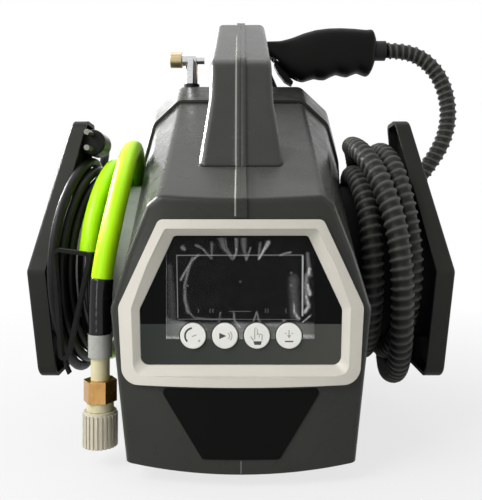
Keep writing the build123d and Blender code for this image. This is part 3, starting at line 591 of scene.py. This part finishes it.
def laid(first, rows):
    """Points of turns through rows of (turns, x, height above the core), eased from row to row."""
    points = []
    for step in range(round(first * TURN_POINTS), round(rows[-1][0] * TURN_POINTS) + 1):
        turns = step / TURN_POINTS
        low, high = next(pair for pair in zip(rows, rows[1:]) if turns <= pair[1][0])
        ease = (1 - math.cos(math.pi * (turns - low[0]) / (high[0] - low[0]))) / 2
        x = low[1] + (high[1] - low[1]) * ease
        lift = low[2] + (high[2] - low[2]) * ease
        angle = math.tau * turns
        points.append((x, WIND_Y + (CORE_DEPTH + lift) * FULLNESS * math.cos(angle),
                       WIND_Z + (CORE_HEIGHT + lift) * FULLNESS * math.sin(angle)))
    return points


def round_cord(name, route, radius, detail, look):
    """A smooth round hose or cord along a route, with closed ends."""
    curve = spline(name, route)
    curve.bevel_depth = radius
    curve.bevel_resolution = detail
    curve.use_fill_caps = True
    return link(name, curve, look, "washer")


# Steam hose: from the outlet, three turns round the right core, then up in an arch to the gun.
steam_rows = [
    (0.0, 115.0, 9.7), (0.25, 101.0, 10.0), (0.5, 106.8, 10.0), (0.75, 108.0, 10.0), (1.0, 120.5, 33.0),
    (1.125, 121.5, 31.0), (1.25, 126.0, 31.0), (1.5, 138.5, 10.0), (1.75, 129.5, 10.0), (2.0, 137.5, 45.0),
    (2.125, 119.5, 54.5), (2.25, 100.0, 35.5), (2.5, 125.5, 28.5), (2.75, 135.0, 31.5), (2.875, 146.5, 46.0),
    (3.0, 153.0, 58.0)]
steam_route = metres(
    [(115.0, 37.2, 146.0), (115.0, 37.2, 160.0)] + laid(1 / TURN_POINTS, steam_rows)
    + [(155.0, 85.0, 172.0), (174.0, 86.0, 202.0), (199.0, 88.0, 233.0), (221.0, 91.5, 263.0),
       (230.5, 95.0, 292.0), (230.0, 100.0, 322.0), (221.0, 104.5, 348.0), (203.0, 108.5, 367.0),
       (181.0, 110.0, 374.0), (163.0, 110.0, 374.0)])
rib_pitch = 7.4 * MM
rib_profile = [
    (0.0, 0.0078), (0.2, 0.0079), (0.33, 0.0083), (0.41, 0.0092), (0.59, 0.0092), (0.67, 0.0083), (0.8, 0.0079)]
steam_mesh, steam_rail = ribbed_tube("steam_hose", centreline(steam_route), rib_pitch, rib_profile)
steam_hose = link("steam_hose", steam_mesh, slot_looks["steam_hose"])
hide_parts("steam_hose_coil", "steam_hose_lead")
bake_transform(steam_hose)

# Water hose: from the inlet, a turn and a quarter round the left core, then down at the front to its fitting.
water_rows = [(0.0, -114.5, 9.7), (0.25, -111.0, 18.0), (0.5, -123.0, 11.5), (0.75, -117.5, 12.0),
              (1.0, -118.5, 31.0), (1.25, -97.5, 34.0)]
water_route = metres(
    [(-114.5, 37.2, 146.0), (-114.5, 37.2, 158.0)] + laid(1 / TURN_POINTS, water_rows)
    + [(-96.0, -53.0, 245.0), (-95.5, -81.0, 228.0), (-96.5, -106.0, 202.0), (-99.0, -121.0, 178.0),
       (-102.5, -127.0, 155.0), (-105.0, -128.0, 137.0), (-105.5, -128.0, 118.0), (-105.5, -128.0, 99.0)])
water_hose = round_cord("water_hose_green", water_route, 8.0 * MM, 6, slot_looks["water_hose"])
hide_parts("water_hose", "water_hose_tail")
water_rail = Rail(centreline(water_route))

# Black shrink sleeves on the water hose: one on the front of its first turn, where the strap holds it, and one
# at the end of its last run. The lengths say where the first turn is over and where the last run has begun.
FIRST_TURN = 0.35
LAST_RUN = 0.5
FRONT_Y = -60.0 * MM
TURN_SLEEVE_LOW, TURN_SLEEVE_HIGH = 94.0 * MM, 158.0 * MM
SLEEVE_STEPS = 24
SLEEVE_RADIUS = 8.75 * MM
SLEEVE_SHOULDER = 8.7 * MM
SLEEVE_RIM = 8.1 * MM
SHOULDER_WIDTH = 0.4 * MM


def shrunk(name, first, last):
    """A thin sleeve shrunk onto the water hose between two places along it, slightly uneven."""
    profile = [(first, SLEEVE_RIM), (first + SHOULDER_WIDTH, SLEEVE_SHOULDER)]
    for i in range(1, SLEEVE_STEPS):
        uneven = (0.06 * math.sin(i * 1.7) + 0.04 * math.sin(i * 0.6)) * MM
        profile.append((first + (last - first) * i / SLEEVE_STEPS, SLEEVE_RADIUS + uneven))
    profile += [(last - SHOULDER_WIDTH, SLEEVE_SHOULDER), (last, SLEEVE_RIM)]
    return link(name, turned_tube(name, water_rail.line, profile, 40), sleeve_look, "washer")


turn_span = [s for s, (_, y, z) in zip(water_rail.along, water_rail.line)
             if s < FIRST_TURN and y < FRONT_Y and TURN_SLEEVE_LOW < z < TURN_SLEEVE_HIGH]
turn_sleeve = shrunk("turn_sleeve", turn_span[0], turn_span[-1])
sleeve_low, sleeve_high = (corner[2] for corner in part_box("hose_sleeve"))
end_span = [s for s, (_, _, z) in zip(water_rail.along, water_rail.line)
            if s > LAST_RUN and sleeve_low <= z <= sleeve_high]
end_sleeve = shrunk("end_sleeve", end_span[0], water_rail.length)
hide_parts("hose_sleeve")

# Mains cord: from its gland, three turns round the left core, and up to the plug behind the plate.
cord_turn = [(0.25, -123.5, 6.9), (0.5, -138.3, 10.2), (0.75, -131.0, 10.6), (1.0, -144.8, 13.9)]
cord_rows = [(turns + k, x - 5.0 * k, lift + 7.4 * k) for k in range(3) for turns, x, lift in cord_turn]
cord_route = metres(
    [(-108.0, 95.0, 62.0), (-117.0, 95.0, 62.0), (-130.0, 93.6, 63.5), (-141.5, 89.0, 68.5),
     (-149.3, 82.0, 77.5), (-151.5, 73.5, 89.0), (-148.5, 63.5, 102.5), (-141.5, 52.5, 117.5),
     (-134.5, 42.0, 136.0), (-130.5, 34.5, 156.0), (-130.0, 30.5, 176.0), (-128.8, 17.3, 200.0),
     (-126.3, -3.0, 216.6)]
    + laid(0.25, cord_rows)
    + [(-154.5, 57.0, 172.0), (-152.0, 54.5, 192.0), (-148.0, 49.0, 213.0), (-142.0, 39.5, 232.0),
       (-135.5, 25.5, 246.5), (-131.5, 8.5, 252.0), (-131.0, -8.0, 252.0)])
mains_cord = round_cord("mains_cord", cord_route, 4.2 * MM, 4, slot_looks["black_soft"])
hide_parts("power_cord")

# Ribbed boot where the cord leaves its gland, each rib thinner than the one before: (place, how far in).
boot_radius = 0.0068
boot_ribs = 6
boot_start, boot_step, boot_taper = 0.001, 0.0045, 0.0003
boot_rib = [(0.0, 0.0), (0.003, 0.0001), (0.0032, 0.0011), (0.0043, 0.0012)]
boot_profile = [(0.0, boot_radius)]
for rib in range(boot_ribs):
    start, thick = boot_start + boot_step * rib, boot_radius - boot_taper * rib
    boot_profile += [(start + place, thick - inward) for place, inward in boot_rib]
boot_profile += [(0.0285, 0.0050), (0.029, 0.0043)]
boot_mesh = turned_tube("cord_boot", centreline(cord_route), boot_profile)
cord_boot = link("cord_boot", boot_mesh, node_looks["hose_cuff"], "washer")


# Strap: a loop of tape that hangs in front of the turns, with its loose end below.
def loop_outline(circles, shrink=0.0, steps=8):
    """Points round a band laid tightly over round pegs, given anticlockwise as (x, z, radius)."""
    points = []
    count = len(circles)
    for i, (x, z, radius) in enumerate(circles):
        before, after = circles[i - 1], circles[(i + 1) % count]
        start = math.atan2(z - before[1], x - before[0]) - math.pi / 2
        end = math.atan2(after[1] - z, after[0] - x) - math.pi / 2
        while end < start:
            end += math.tau
        for step in range(steps + 1):
            angle = start + (end - start) * step / steps
            points.append((x + (radius - shrink) * math.cos(angle), z + (radius - shrink) * math.sin(angle)))
    return points


def tape(name, outer, inner, near, far):
    """A band between two outlines, from the near to the far depth."""
    count = len(outer)
    rings = ((outer, near), (outer, far), (inner, far), (inner, near))
    points = [(x, y, z) for ring, y in rings for x, z in ring]
    faces = []
    for ring in range(len(rings)):
        this, following = ring * count, (ring + 1) % len(rings) * count
        for i in range(count):
            after = (i + 1) % count
            faces.append((this + i, this + after, following + after, following + i))
    return outward(mesh_of(name, metres(points), faces, False))


pegs = [(-136.0, 80.5, 4.4), (-120.5, 154.5, 5.0), (-140.5, 157.0, 5.4)]
tape_thickness = 3.0
strap_loop = tape("strap_loop", loop_outline(pegs), loop_outline(pegs, tape_thickness), -117.0, -109.5)
strap = link("strap_loop", strap_loop, strap_look, "washer")
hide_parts("tie_strap")
flap = [(-137.6, 79.5), (-135.4, 79.5), (-133.4, 70.0), (-131.6, 66.0), (-133.2, 65.0), (-135.2, 69.5)]
link("strap_flap", prisms("strap_flap", [flap], -116.5, -110.0), strap_look, "washer")


# -------------------- grip of the gun

# The grip along x, in mm: its top, its underside with the waves for the fingers, its half-width, and how
# square its section is.
GUN_Y = 110.0
GRIP_START, GRIP_END = -14, 153
GRIP_TOP = [
    (-14, 382.2), (30, 382.2), (44, 383.2), (56, 386.8), (70, 392.4), (84, 396.4), (98, 398.2), (112, 398.6),
    (126, 398.0), (138, 396.8), (143, 396.6), (146.5, 398.0), (149.5, 394.5), (153, 389.0)]
GRIP_LOW = [
    (-14, 368.0), (32, 368.0), (37, 362.5), (46, 352.5), (56, 344.4), (64, 340.2), (70, 338.8), (77, 341.0),
    (83, 342.8), (89, 341.4), (95, 341.2), (102, 345.0), (108, 347.4), (114, 345.6), (120, 344.4),
    (126, 347.0), (132, 349.2), (138, 347.0), (144, 345.2), (149, 346.6), (153, 351.0)]
GRIP_HALF = [
    (-14, 14.5), (28, 14.5), (41, 15.4), (54, 15.6), (66, 16.4), (82, 17.0), (110, 17.0), (140, 16.6),
    (153, 15.6)]
GRIP_SQUARE = [(-14, 4.4), (32, 4.4), (60, 3.0), (153, 2.8)]
GRIP_WALL = 3.0
END_ROUND = 7
PARTING_DEPTH = 0.45
SHARP_ANGLE = math.radians(40)

# The rear end leans: from where, about what height, how far out per mm of height, and how far in.
LEAN_START = 120
LEAN_Z = 372
LEAN_SLOPE = 0.11
LEAN_IN = 1.6


def eased(x, table, reach=5):
    """The table's line read at x, with its corners eased."""
    across = np.linspace(-reach, reach, 21)
    weight = np.exp(-(across / reach * 1.6) ** 2)
    places = [p for p, _ in table]
    values = [v for _, v in table]
    return (np.interp(x[:, None] + across[None, :], places, values) * weight).sum(axis=1) / weight.sum()


def grip_shell(name, wall):
    """The grip's rounded form, drawn in by the wall. Its outside has the parting line sunk round its middle."""
    first, last = GRIP_START + wall, GRIP_END - wall
    rounding = END_ROUND * (1 - np.cos(np.linspace(0, math.pi / 2, 8)))
    x = np.concatenate((first + rounding, np.linspace(-5, 145 - wall, 90), last - rounding[::-1]))
    ends = np.minimum(x - first, last - x)
    cap = np.sqrt(np.clip(1 - (1 - np.clip(ends / END_ROUND, 0, 1)) ** 2, 0, 1)) * 0.5 + 0.5
    top, low = eased(x, GRIP_TOP, 4) - wall, eased(x, GRIP_LOW, 3) + wall
    half, square = eased(x, GRIP_HALF) - wall, eased(x, GRIP_SQUARE)
    quarter = [0.29, 2.0, 5.0, 9.0, 14.0, 20.0, 27.0, 35.0, 45.0, 55.0, 64.0, 72.0, 80.0]
    turn = np.radians([90 - a for a in reversed(quarter)] + [90] + [90 + a for a in quarter]
                      + [270 - a for a in reversed(quarter)] + [270] + [270 + a for a in quarter])
    power = 2 / square[:, None]
    across = np.sign(np.cos(turn)) * np.abs(np.cos(turn))[None, :] ** power
    upward = np.sign(np.sin(turn)) * np.abs(np.sin(turn))[None, :] ** power
    sunk = np.zeros(len(turn))
    if wall == 0:
        sunk[[len(quarter), 3 * len(quarter) + 1]] = PARTING_DEPTH
    middle, tall = (top + low) / 2, (top - low) / 2 * cap
    z = middle[:, None] + upward * (tall[:, None] - sunk[None, :])
    y = GUN_Y + across * (half * cap)[:, None]
    lean = np.clip((x - LEAN_START) / (GRIP_END - LEAN_START), 0, 1)[:, None] ** 2
    shifted = x[:, None] + (z - LEAN_Z) * LEAN_SLOPE * lean - LEAN_IN * lean
    points = np.stack([shifted, y, z], axis=-1) * MM
    return closed_tube(name, points, len(x), len(turn))


def rod(name, start, end, radius):
    """A round bar from one point to another, in mm."""
    middle = [(a + b) / 2 for a, b in zip(start, end)]
    profile = [(0.0, radius * MM), (math.dist(start, end) * MM, radius * MM)]
    return turned_tube(name, np.array(metres([start, middle, end])), profile, 40)


def carved(name, mesh, cutters):
    """The mesh with the cutters taken out of it."""
    body = added(name, mesh)
    tools = []
    for i, cutter in enumerate(cutters):
        tool = added(f"cutter_{i}", cutter)
        tools.append(tool)
        cut = body.modifiers.new("cut", "BOOLEAN")
        cut.operation, cut.solver, cut.object = "DIFFERENCE", "EXACT", tool
    bpy.context.view_layer.update()
    result = bpy.data.meshes.new_from_object(body.evaluated_get(bpy.context.evaluated_depsgraph_get()))
    result.materials.clear()
    result.set_sharp_from_angle(angle=SHARP_ANGLE)
    for used in [body] + tools:
        data = used.data
        bpy.data.objects.remove(used)
        bpy.data.meshes.remove(data)
    return result


trigger_slot = [(35, 345), (35, 369), (50, 369), (58, 352), (66, 338), (60, 330)]
slot_half = 5.4
grip_cutters = [
    grip_shell("grip_room", GRIP_WALL),
    prisms("trigger_slot", [trigger_slot], GUN_Y - slot_half, GUN_Y + slot_half),
    rod("barrel_hole", (20, GUN_Y, 360), (20, GUN_Y, 373), 7.05),
    rod("cuff_hole", (142.8, GUN_Y, 374), (165, GUN_Y, 374), 11.05)]
grip_mesh = carved("gun_grip", grip_shell("grip_form", 0.0), grip_cutters)
grip = link("gun_grip", grip_mesh, slot_looks["gun"], "gun")
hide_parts("gun_grip_front", "gun_grip_rear")


# -------------------- film, display and button marks

PANEL_Y = -158.0
BUTTON_FACE = -159.5
BUTTONS = {"gauge": -33.6, "start": -11.2, "hand": 11.2, "level": 33.6}
BUTTON_Z = 103.4
INK_DEPTH = 0.12

# The film: its grid, its size and left bottom corner, and what is cut from it, in mm.
FILM_STEP = 0.5
FILM_WIDTH = 104
FILM_HEIGHT = 71
FILM_LEFT = -52.5
FILM_LOW = 101.0
FILM_LIFT = 0.3
TAPER_START = 161
TAPER_HALF = 52.0
TAPER = 0.52
BUTTON_HOLE = 9.5
FOLD_LIFT = 0.9

# Below this height the film is milky, as it lies over the slate band.
MILKY_TOP = 113.5
MILKY_FADE = 2.0

# Folds of the film: points (x, z) in mm, width at the first and last point, strength.
folds = [
    ([(-14.0, 173.0), (-12.6, 166.0), (-6.0, 157.0)], 4.2, 1.2, 0.24),
    ([(-11.0, 173.0), (-10.4, 166.0), (-5.6, 157.5)], 1.2, 0.8, 0.22),
    ([(-3.4, 173.0), (-3.2, 162.0), (-5.0, 157.5)], 2.0, 0.8, 0.4),
    ([(1.6, 173.0), (2.2, 164.0), (3.6, 156.5)], 3.6, 1.0, 0.26),
    ([(6.6, 165.0), (4.0, 156.5)], 1.0, 0.8, 0.42),
    ([(19.0, 168.6), (16.8, 164.5), (12.4, 157.0)], 2.6, 0.9, 0.8),
    ([(13.4, 168.0), (12.2, 157.0)], 1.8, 0.8, 0.24),
    ([(-31.5, 166.8), (-27.0, 164.5), (-21.0, 157.5)], 1.5, 0.9, 0.24),
    ([(-20.4, 168.0), (-20.6, 157.0)], 1.8, 0.8, 0.22),
    ([(-41.0, 165.2), (-39.6, 164.0)], 2.4, 1.8, 0.32),
    ([(27.4, 159.6), (31.0, 161.2), (34.8, 161.8)], 1.0, 1.0, 0.45),
    ([(-29.8, 160.0), (-34.0, 156.4), (-38.6, 149.0), (-42.2, 142.6)], 1.2, 1.3, 0.4),
    ([(-34.0, 158.0), (-37.0, 149.0), (-39.4, 139.0), (-39.2, 128.0), (-37.0, 120.0)], 1.2, 2.0, 0.28),
    ([(-37.4, 121.0), (-33.0, 116.0), (-22.0, 114.8), (-5.0, 115.0)], 1.4, 0.8, 0.2),
    ([(46.6, 161.0), (47.6, 151.0), (47.8, 146.0)], 1.8, 3.0, 0.28),
    ([(48.0, 150.0), (47.6, 146.4)], 2.0, 1.8, 0.9),
    ([(46.6, 139.0), (48.2, 132.6)], 1.5, 2.3, 0.85),
    ([(45.8, 131.0), (47.6, 124.0), (44.8, 120.0)], 1.5, 2.2, 0.75),
    ([(46.0, 146.0), (45.6, 136.0), (46.2, 126.0)], 2.4, 2.4, 0.34),
    ([(37.0, 126.0), (37.4, 120.0), (40.4, 115.4)], 1.2, 2.2, 0.6),
    ([(43.4, 113.0), (48.6, 117.4)], 0.8, 1.0, 0.6),
    ([(36.6, 143.0), (37.8, 118.0)], 5.6, 5.0, 0.13),
    ([(-14.5, 119.5), (-15.4, 112.4)], 1.0, 0.8, 0.22),
    ([(-5.2, 119.6), (-4.4, 114.0), (-0.8, 109.6)], 1.0, 1.3, 0.3),
    ([(11.0, 120.0), (8.6, 113.0)], 1.1, 0.8, 0.34),
    ([(11.0, 120.0), (12.6, 114.0), (15.4, 110.6)], 1.1, 1.1, 0.28),
    ([(31.0, 113.6), (29.4, 114.2)], 1.0, 1.0, 0.34),
    ([(-50.0, 152.0), (-49.0, 132.0), (-48.0, 116.0)], 3.0, 5.0, 0.08),
    ([(-52.0, 114.5), (-40.0, 112.0), (-24.0, 108.0)], 3.4, 1.2, 0.17),
    ([(-52.0, 102.2), (-42.0, 101.8)], 1.8, 1.4, 0.34),
    ([(43.0, 103.0), (51.0, 102.6)], 2.4, 2.6, 0.42),
    ([(18.0, 111.0), (34.0, 110.4)], 1.8, 2.0, 0.2),
]


def fold_field(x, z):
    """How strongly the film is creased at points x, z."""
    field = np.zeros_like(x)
    for points, first, last, strength in folds:
        total = len(points) - 1
        for i in range(total):
            a, b = np.array(points[i]), np.array(points[i + 1])
            run = b - a
            share = np.clip(((x - a[0]) * run[0] + (z - a[1]) * run[1]) / run.dot(run), 0, 1)
            away = np.hypot(x - a[0] - run[0] * share, z - a[1] - run[1] * share)
            width = first + (last - first) * (i + share) / total
            near = np.clip(1 - away / width, 0, 1)
            field = np.maximum(field, strength * near * near * (3 - 2 * near))
    return field


columns = round(FILM_WIDTH / FILM_STEP) + 1
rows = round(FILM_HEIGHT / FILM_STEP) + 1
grid_x, grid_z = np.meshgrid(FILM_LEFT + np.arange(columns) * FILM_STEP, FILM_LOW + np.arange(rows) * FILM_STEP)
ruffle = np.sin(grid_x * 1.9 + grid_z * 0.7) * np.sin(grid_z * 1.3 - grid_x * 0.4 + 0.6)
crease = fold_field(grid_x, grid_z) * (0.86 + 0.24 * ruffle)
wave = 0.06 * np.sin(grid_x * 0.21 + grid_z * 0.13) + 0.05 * np.sin(grid_x * 0.11 - grid_z * 0.29 + 1.0)
grid_y = PANEL_Y - FILM_LIFT - wave - FOLD_LIFT * crease
milky = np.clip((MILKY_TOP - grid_z) / MILKY_FADE, 0, 1) * (0.17 + 0.08 * np.sin(grid_x * 0.17 + 2.0))
tapered = np.abs(grid_x) < TAPER_HALF - (grid_z - TAPER_START) * TAPER
kept = tapered | (grid_z <= TAPER_START)
for x in BUTTONS.values():
    kept &= np.hypot(grid_x - x, grid_z - BUTTON_Z) > BUTTON_HOLE
film_faces = []
for r in range(rows - 1):
    for c in range(columns - 1):
        if kept[r, c] and kept[r, c + 1] and kept[r + 1, c] and kept[r + 1, c + 1]:
            at = r * columns + c
            film_faces.append((at, at + 1, at + columns + 1, at + columns))
film_points = np.stack([grid_x, grid_y, grid_z], axis=-1).reshape(-1, 3) * MM
film_mesh = mesh_of("film_sheet", film_points, film_faces)
# The side edges of the film are painted whiter as a painted highlight.
rim = np.clip(1 - (-FILM_LEFT - np.abs(grid_x)) / FILM_STEP, 0, 1) * 0.25
# This attribute drives the film's whiteness: in the folds and along the side edges it is painted reflection.
point_values(film_mesh, "fold", np.clip(crease + milky + rim, 0, 1))
with editing(film_mesh) as bm:
    drop_loose(bm)
film = link("film_sheet", film_mesh, slot_looks["film"], "washer")
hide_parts("display_film")


def decal(name, shapes, look, body, y):
    """Printed shapes (x, z) in mm, each a closed outline, as thin layers with their faces at the depth y."""
    link(name, prisms(name, shapes, y, y + INK_DEPTH), look, body)


def bar(x0, z0, x1, z1, width):
    """The outline of a straight stroke."""
    run = math.hypot(x1 - x0, z1 - z0)
    nx, nz = -(z1 - z0) / run * width / 2, (x1 - x0) / run * width / 2
    return [(x0 - nx, z0 - nz), (x1 - nx, z1 - nz), (x1 + nx, z1 + nz), (x0 + nx, z0 + nz)]


def arc_band(x, z, inner, outer, start, end, steps=14):
    """The outline of a part of a ring, between two angles in degrees."""
    angles = [math.radians(start + (end - start) * i / steps) for i in range(steps + 1)]
    ring = [(x + outer * math.cos(a), z + outer * math.sin(a)) for a in angles]
    return ring + [(x + inner * math.cos(a), z + inner * math.sin(a)) for a in reversed(angles)]


# Frame and faint signs of the display.
display_y = PANEL_Y - 0.08
sign_z = 120.8
decal("display_edge", [bar(43.3, 159.6, 43.1, 117.0, 1.1)], frame_ink_look, "washer", display_y)
decal("display_thin_edge", [bar(-45.4, 159.7, 43.6, 159.9, 0.7), bar(-45.1, 159.4, -44.3, 116.0, 0.6)],
      thin_ink_look, "washer", display_y)
ghosts = []
for x, turn in ((-31.2, 0), (-20.4, 180), (-18.4, 180), (15.8, 0), (17.6, 0), (32.8, 180)):
    ghosts.append(arc_band(x, sign_z, 1.3, 1.8, turn - 60, turn + 60))
for x, z in ((-0.5, 141.2), (35.2, 147.4), (35.2, 138.6), (-37.6, 138.4)):
    ghosts.append(arc_band(x, z, 0.3, 0.8, 0, 359))
ghosts += [bar(-8.4, 120.4, 7.0, 120.4, 0.5), bar(-44.2, 114.9, 40.0, 114.7, 0.5)]
decal("display_marks", ghosts, mark_ink_look, "washer", display_y)

# Parting line of the casing halves below the front plate: a thin bar that follows the casing's face, in mm.
seam_low = 10.2
seam_step = 0.74
seam_rows = 13
seam_section = [(-0.35, -0.06), (0.35, -0.06), (0.35, 0.24), (-0.35, 0.24)]
sides = len(seam_section)
seam_points, seam_faces = [], []
for step in range(seam_rows):
    height = seam_low + step * seam_step
    met, place, _, _ = nodes["casing_left"].ray_cast((-0.0004, -0.4, height * MM), (0, 1, 0))
    if met:
        seam_points += [(x * MM, place.y + depth * MM, height * MM) for x, depth in seam_section]
for first in range(0, len(seam_points) - sides, sides):
    for a in range(sides):
        b = (a + 1) % sides
        seam_faces.append((first + a, first + b, first + b + sides, first + a + sides))
seam_faces += [tuple(reversed(range(sides))), tuple(range(len(seam_points) - sides, len(seam_points)))]
seam_mesh = outward(mesh_of("casing_seam", seam_points, seam_faces, False))
# The parting line is drawn in a pale grey, lighter than the casing, as a painted highlight along the seam.
link("casing_seam", seam_mesh, thin_ink_look, "washer")


def sign(name, key, look, shapes):
    """A sign on a button, of shapes with x counted from the middle of the button."""
    moved = [[(BUTTONS[key] + x, z) for x, z in shape] for shape in shapes]
    decal(name, moved, look, f"button_{key}", BUTTON_FACE - 0.05)


sign("mark_gauge", "gauge", ink_look, [arc_band(0, BUTTON_Z, 4.9, 6.2, 98, 225)])
sign("mark_gauge_tip", "gauge", grey_ink_look,
     [arc_band(0, BUTTON_Z, 4.9, 6.2, -45, -30), bar(-0.6, 103.0, 2.4, 104.2, 0.7)])
sign("mark_start", "start", ink_look, [[(-4.0, 105.6), (-4.0, 101.2), (1.0, 103.4)]])
sign("mark_start_waves", "start", grey_ink_look,
     [arc_band(0.4, BUTTON_Z, 2.4, 3.1, -48, 48), arc_band(0.4, BUTTON_Z, 4.1, 4.8, -42, 42)])
sign("mark_hand_cuff", "hand", ink_look, [[(-2.6, 99.7), (3.4, 99.7), (2.6, 97.2), (-1.8, 97.2)]])
sign("mark_hand", "hand", grey_ink_look,
     [bar(-1.6, 108.6, -1.6, 101.0, 0.7), bar(0.2, 108.2, 0.2, 104.0, 0.6), bar(0.4, 105.0, 1.8, 104.6, 0.6),
      bar(2.0, 104.8, 3.4, 104.2, 0.6), bar(3.7, 104.2, 3.4, 100.2, 0.7), bar(-4.4, 103.0, -2.4, 100.2, 0.7),
      bar(1.6, 104.2, 1.6, 102.2, 0.5), bar(-1.2, 109.0, -0.2, 108.8, 0.6)])
sign("mark_level", "level", ink_look, [bar(-2.9, 99.6, 2.9, 99.6, 0.9)])
sign("mark_level_arrows", "level", grey_ink_look,
     [[(-1.4, 104.0), (1.4, 104.0), (0, 101.6)], bar(0, 107.6, 0, 104.0, 0.7),
      bar(-3.0, 105.2, -1.6, 105.2, 0.5), bar(1.6, 105.2, 3.0, 105.2, 0.5)])


# -------------------- camera, light and floor

# The camera stands where the photograph was taken from, level and straight in front.
camera_data = bpy.data.cameras.new("camera")
camera_data.sensor_width = 36.0
camera_data.lens = 44.64
camera_data.shift_y = -0.07
camera = added("camera", camera_data)
camera.location = (0.0, -0.593, 0.188)
camera.rotation_euler = (math.radians(90), 0, 0)
bpy.context.scene.camera = camera


def lamp(name, at, target, size, power, spread=180.0):
    """A soft lamp turned to its target. Spread is the width of its beam in degrees."""
    data = bpy.data.lights.new(name, "AREA")
    data.shape = "RECTANGLE"
    data.size, data.size_y = size
    data.energy = power
    data.spread = math.radians(spread)
    light = added(name, data)
    light.location = at
    light.rotation_euler = (Vector(target) - Vector(at)).to_track_quat("-Z", "Y").to_euler()


lamp("key", (-1.15, -1.15, 1.45), (0, 0, 0.18), (0.9, 0.9), 29.0)
lamp("overhead", (0.0, 0.3, 1.6), (0, 0, 0.2), (1.2, 1.0), 6.0)
lamp("fill", (1.5, -1.2, 0.55), (0, 0, 0.18), (0.8, 1.0), 2.6)
lamp("rim", (-1.4, 0.8, 0.9), (-0.05, 0, 0.2), (0.9, 1.0), 13.0)
lamp("left", (-1.4, -0.45, 1.2), (0, 0, 0.2), (0.7, 0.9), 7.0)
lamp("strip", (-0.364, -0.614, 0.21), (-0.1, -0.13, 0.12), (0.045, 0.4), 0.55)
lamp("right", (1.7, 0.1, 0.35), (0.05, 0, 0.2), (0.8, 0.6), 6.0)
lamp("back", (-0.4, 1.7, 0.8), (0, 0.1, 0.2), (0.7, 0.8), 8.0)
lamp("edge", (-0.98, 0.38, 0.81), (-0.048, -0.12, 0.265), (0.2, 0.2), 0.5, spread=16.0)


def seen_share(tree):
    """1 for what the camera sees straight, in a reflection or through something clear."""
    path = tree.nodes.new("ShaderNodeLightPath")
    total = path.outputs["Is Camera Ray"]
    for kind in ("Is Glossy Ray", "Is Transmission Ray"):
        larger = tree.nodes.new("ShaderNodeMath")
        larger.operation = "MAXIMUM"
        tree.links.new(total, larger.inputs[0])
        tree.links.new(path.outputs[kind], larger.inputs[1])
        total = larger.outputs[0]
    return total


world = bpy.data.worlds.new("studio")
world.use_nodes = True
bpy.context.scene.world = world
sky = world.node_tree
sky_mix = sky.nodes.new("ShaderNodeMixShader")
seen_sky = sky.nodes.new("ShaderNodeBackground")
seen_sky.inputs["Color"].default_value = (1, 1, 1, 1)
lit_sky = sky.nodes["Background"]
lit_sky.inputs["Color"].default_value = (0.22, 0.22, 0.22, 1)
for i, value in enumerate((seen_share(sky), lit_sky.outputs[0], seen_sky.outputs[0])):
    sky.links.new(value, sky_mix.inputs[i])
sky.links.new(sky_mix.outputs[0], sky.nodes["World Output"].inputs["Surface"])


def floor_finish():
    """Pale paper that keeps the shadow near the washer and fades to the white of the sky farther off."""
    f = Finish("floor_paper")
    f.surface(f.mix(f.noise(300.0, 3.0), (0.5, 0.5, 0.5, 1), (0.54, 0.54, 0.54, 1)), 0.9)
    far = f.add("ShaderNodeVectorMath", {"operation": "LENGTH"})
    f.feed(far.inputs[0], f.place)
    glow = f.math("MULTIPLY", f.spread(far.outputs["Value"], 0.2, 0.8, 0.75, 1.0), seen_share(f.tree))
    white = f.add("ShaderNodeEmission", Color=(1, 1, 1, 1), Strength=1.0)
    mixed = f.add("ShaderNodeMixShader")
    for i, value in enumerate((glow, f.shader.outputs[0], white.outputs[0])):
        f.feed(mixed.inputs[i], value)
    f.feed(f.tree.nodes["Material Output"].inputs["Surface"], mixed.outputs[0])
    return f.material


floor_half = 8.0
floor_corners = [(x * floor_half, y * floor_half, 0) for x, y in ((-1, -1), (1, -1), (1, 1), (-1, 1))]
floor_mesh = mesh_of("floor", floor_corners, [(0, 1, 2, 3)], False)
floor = link("floor", floor_mesh, floor_finish())

bpy.context.scene.view_settings.view_transform = "Standard"
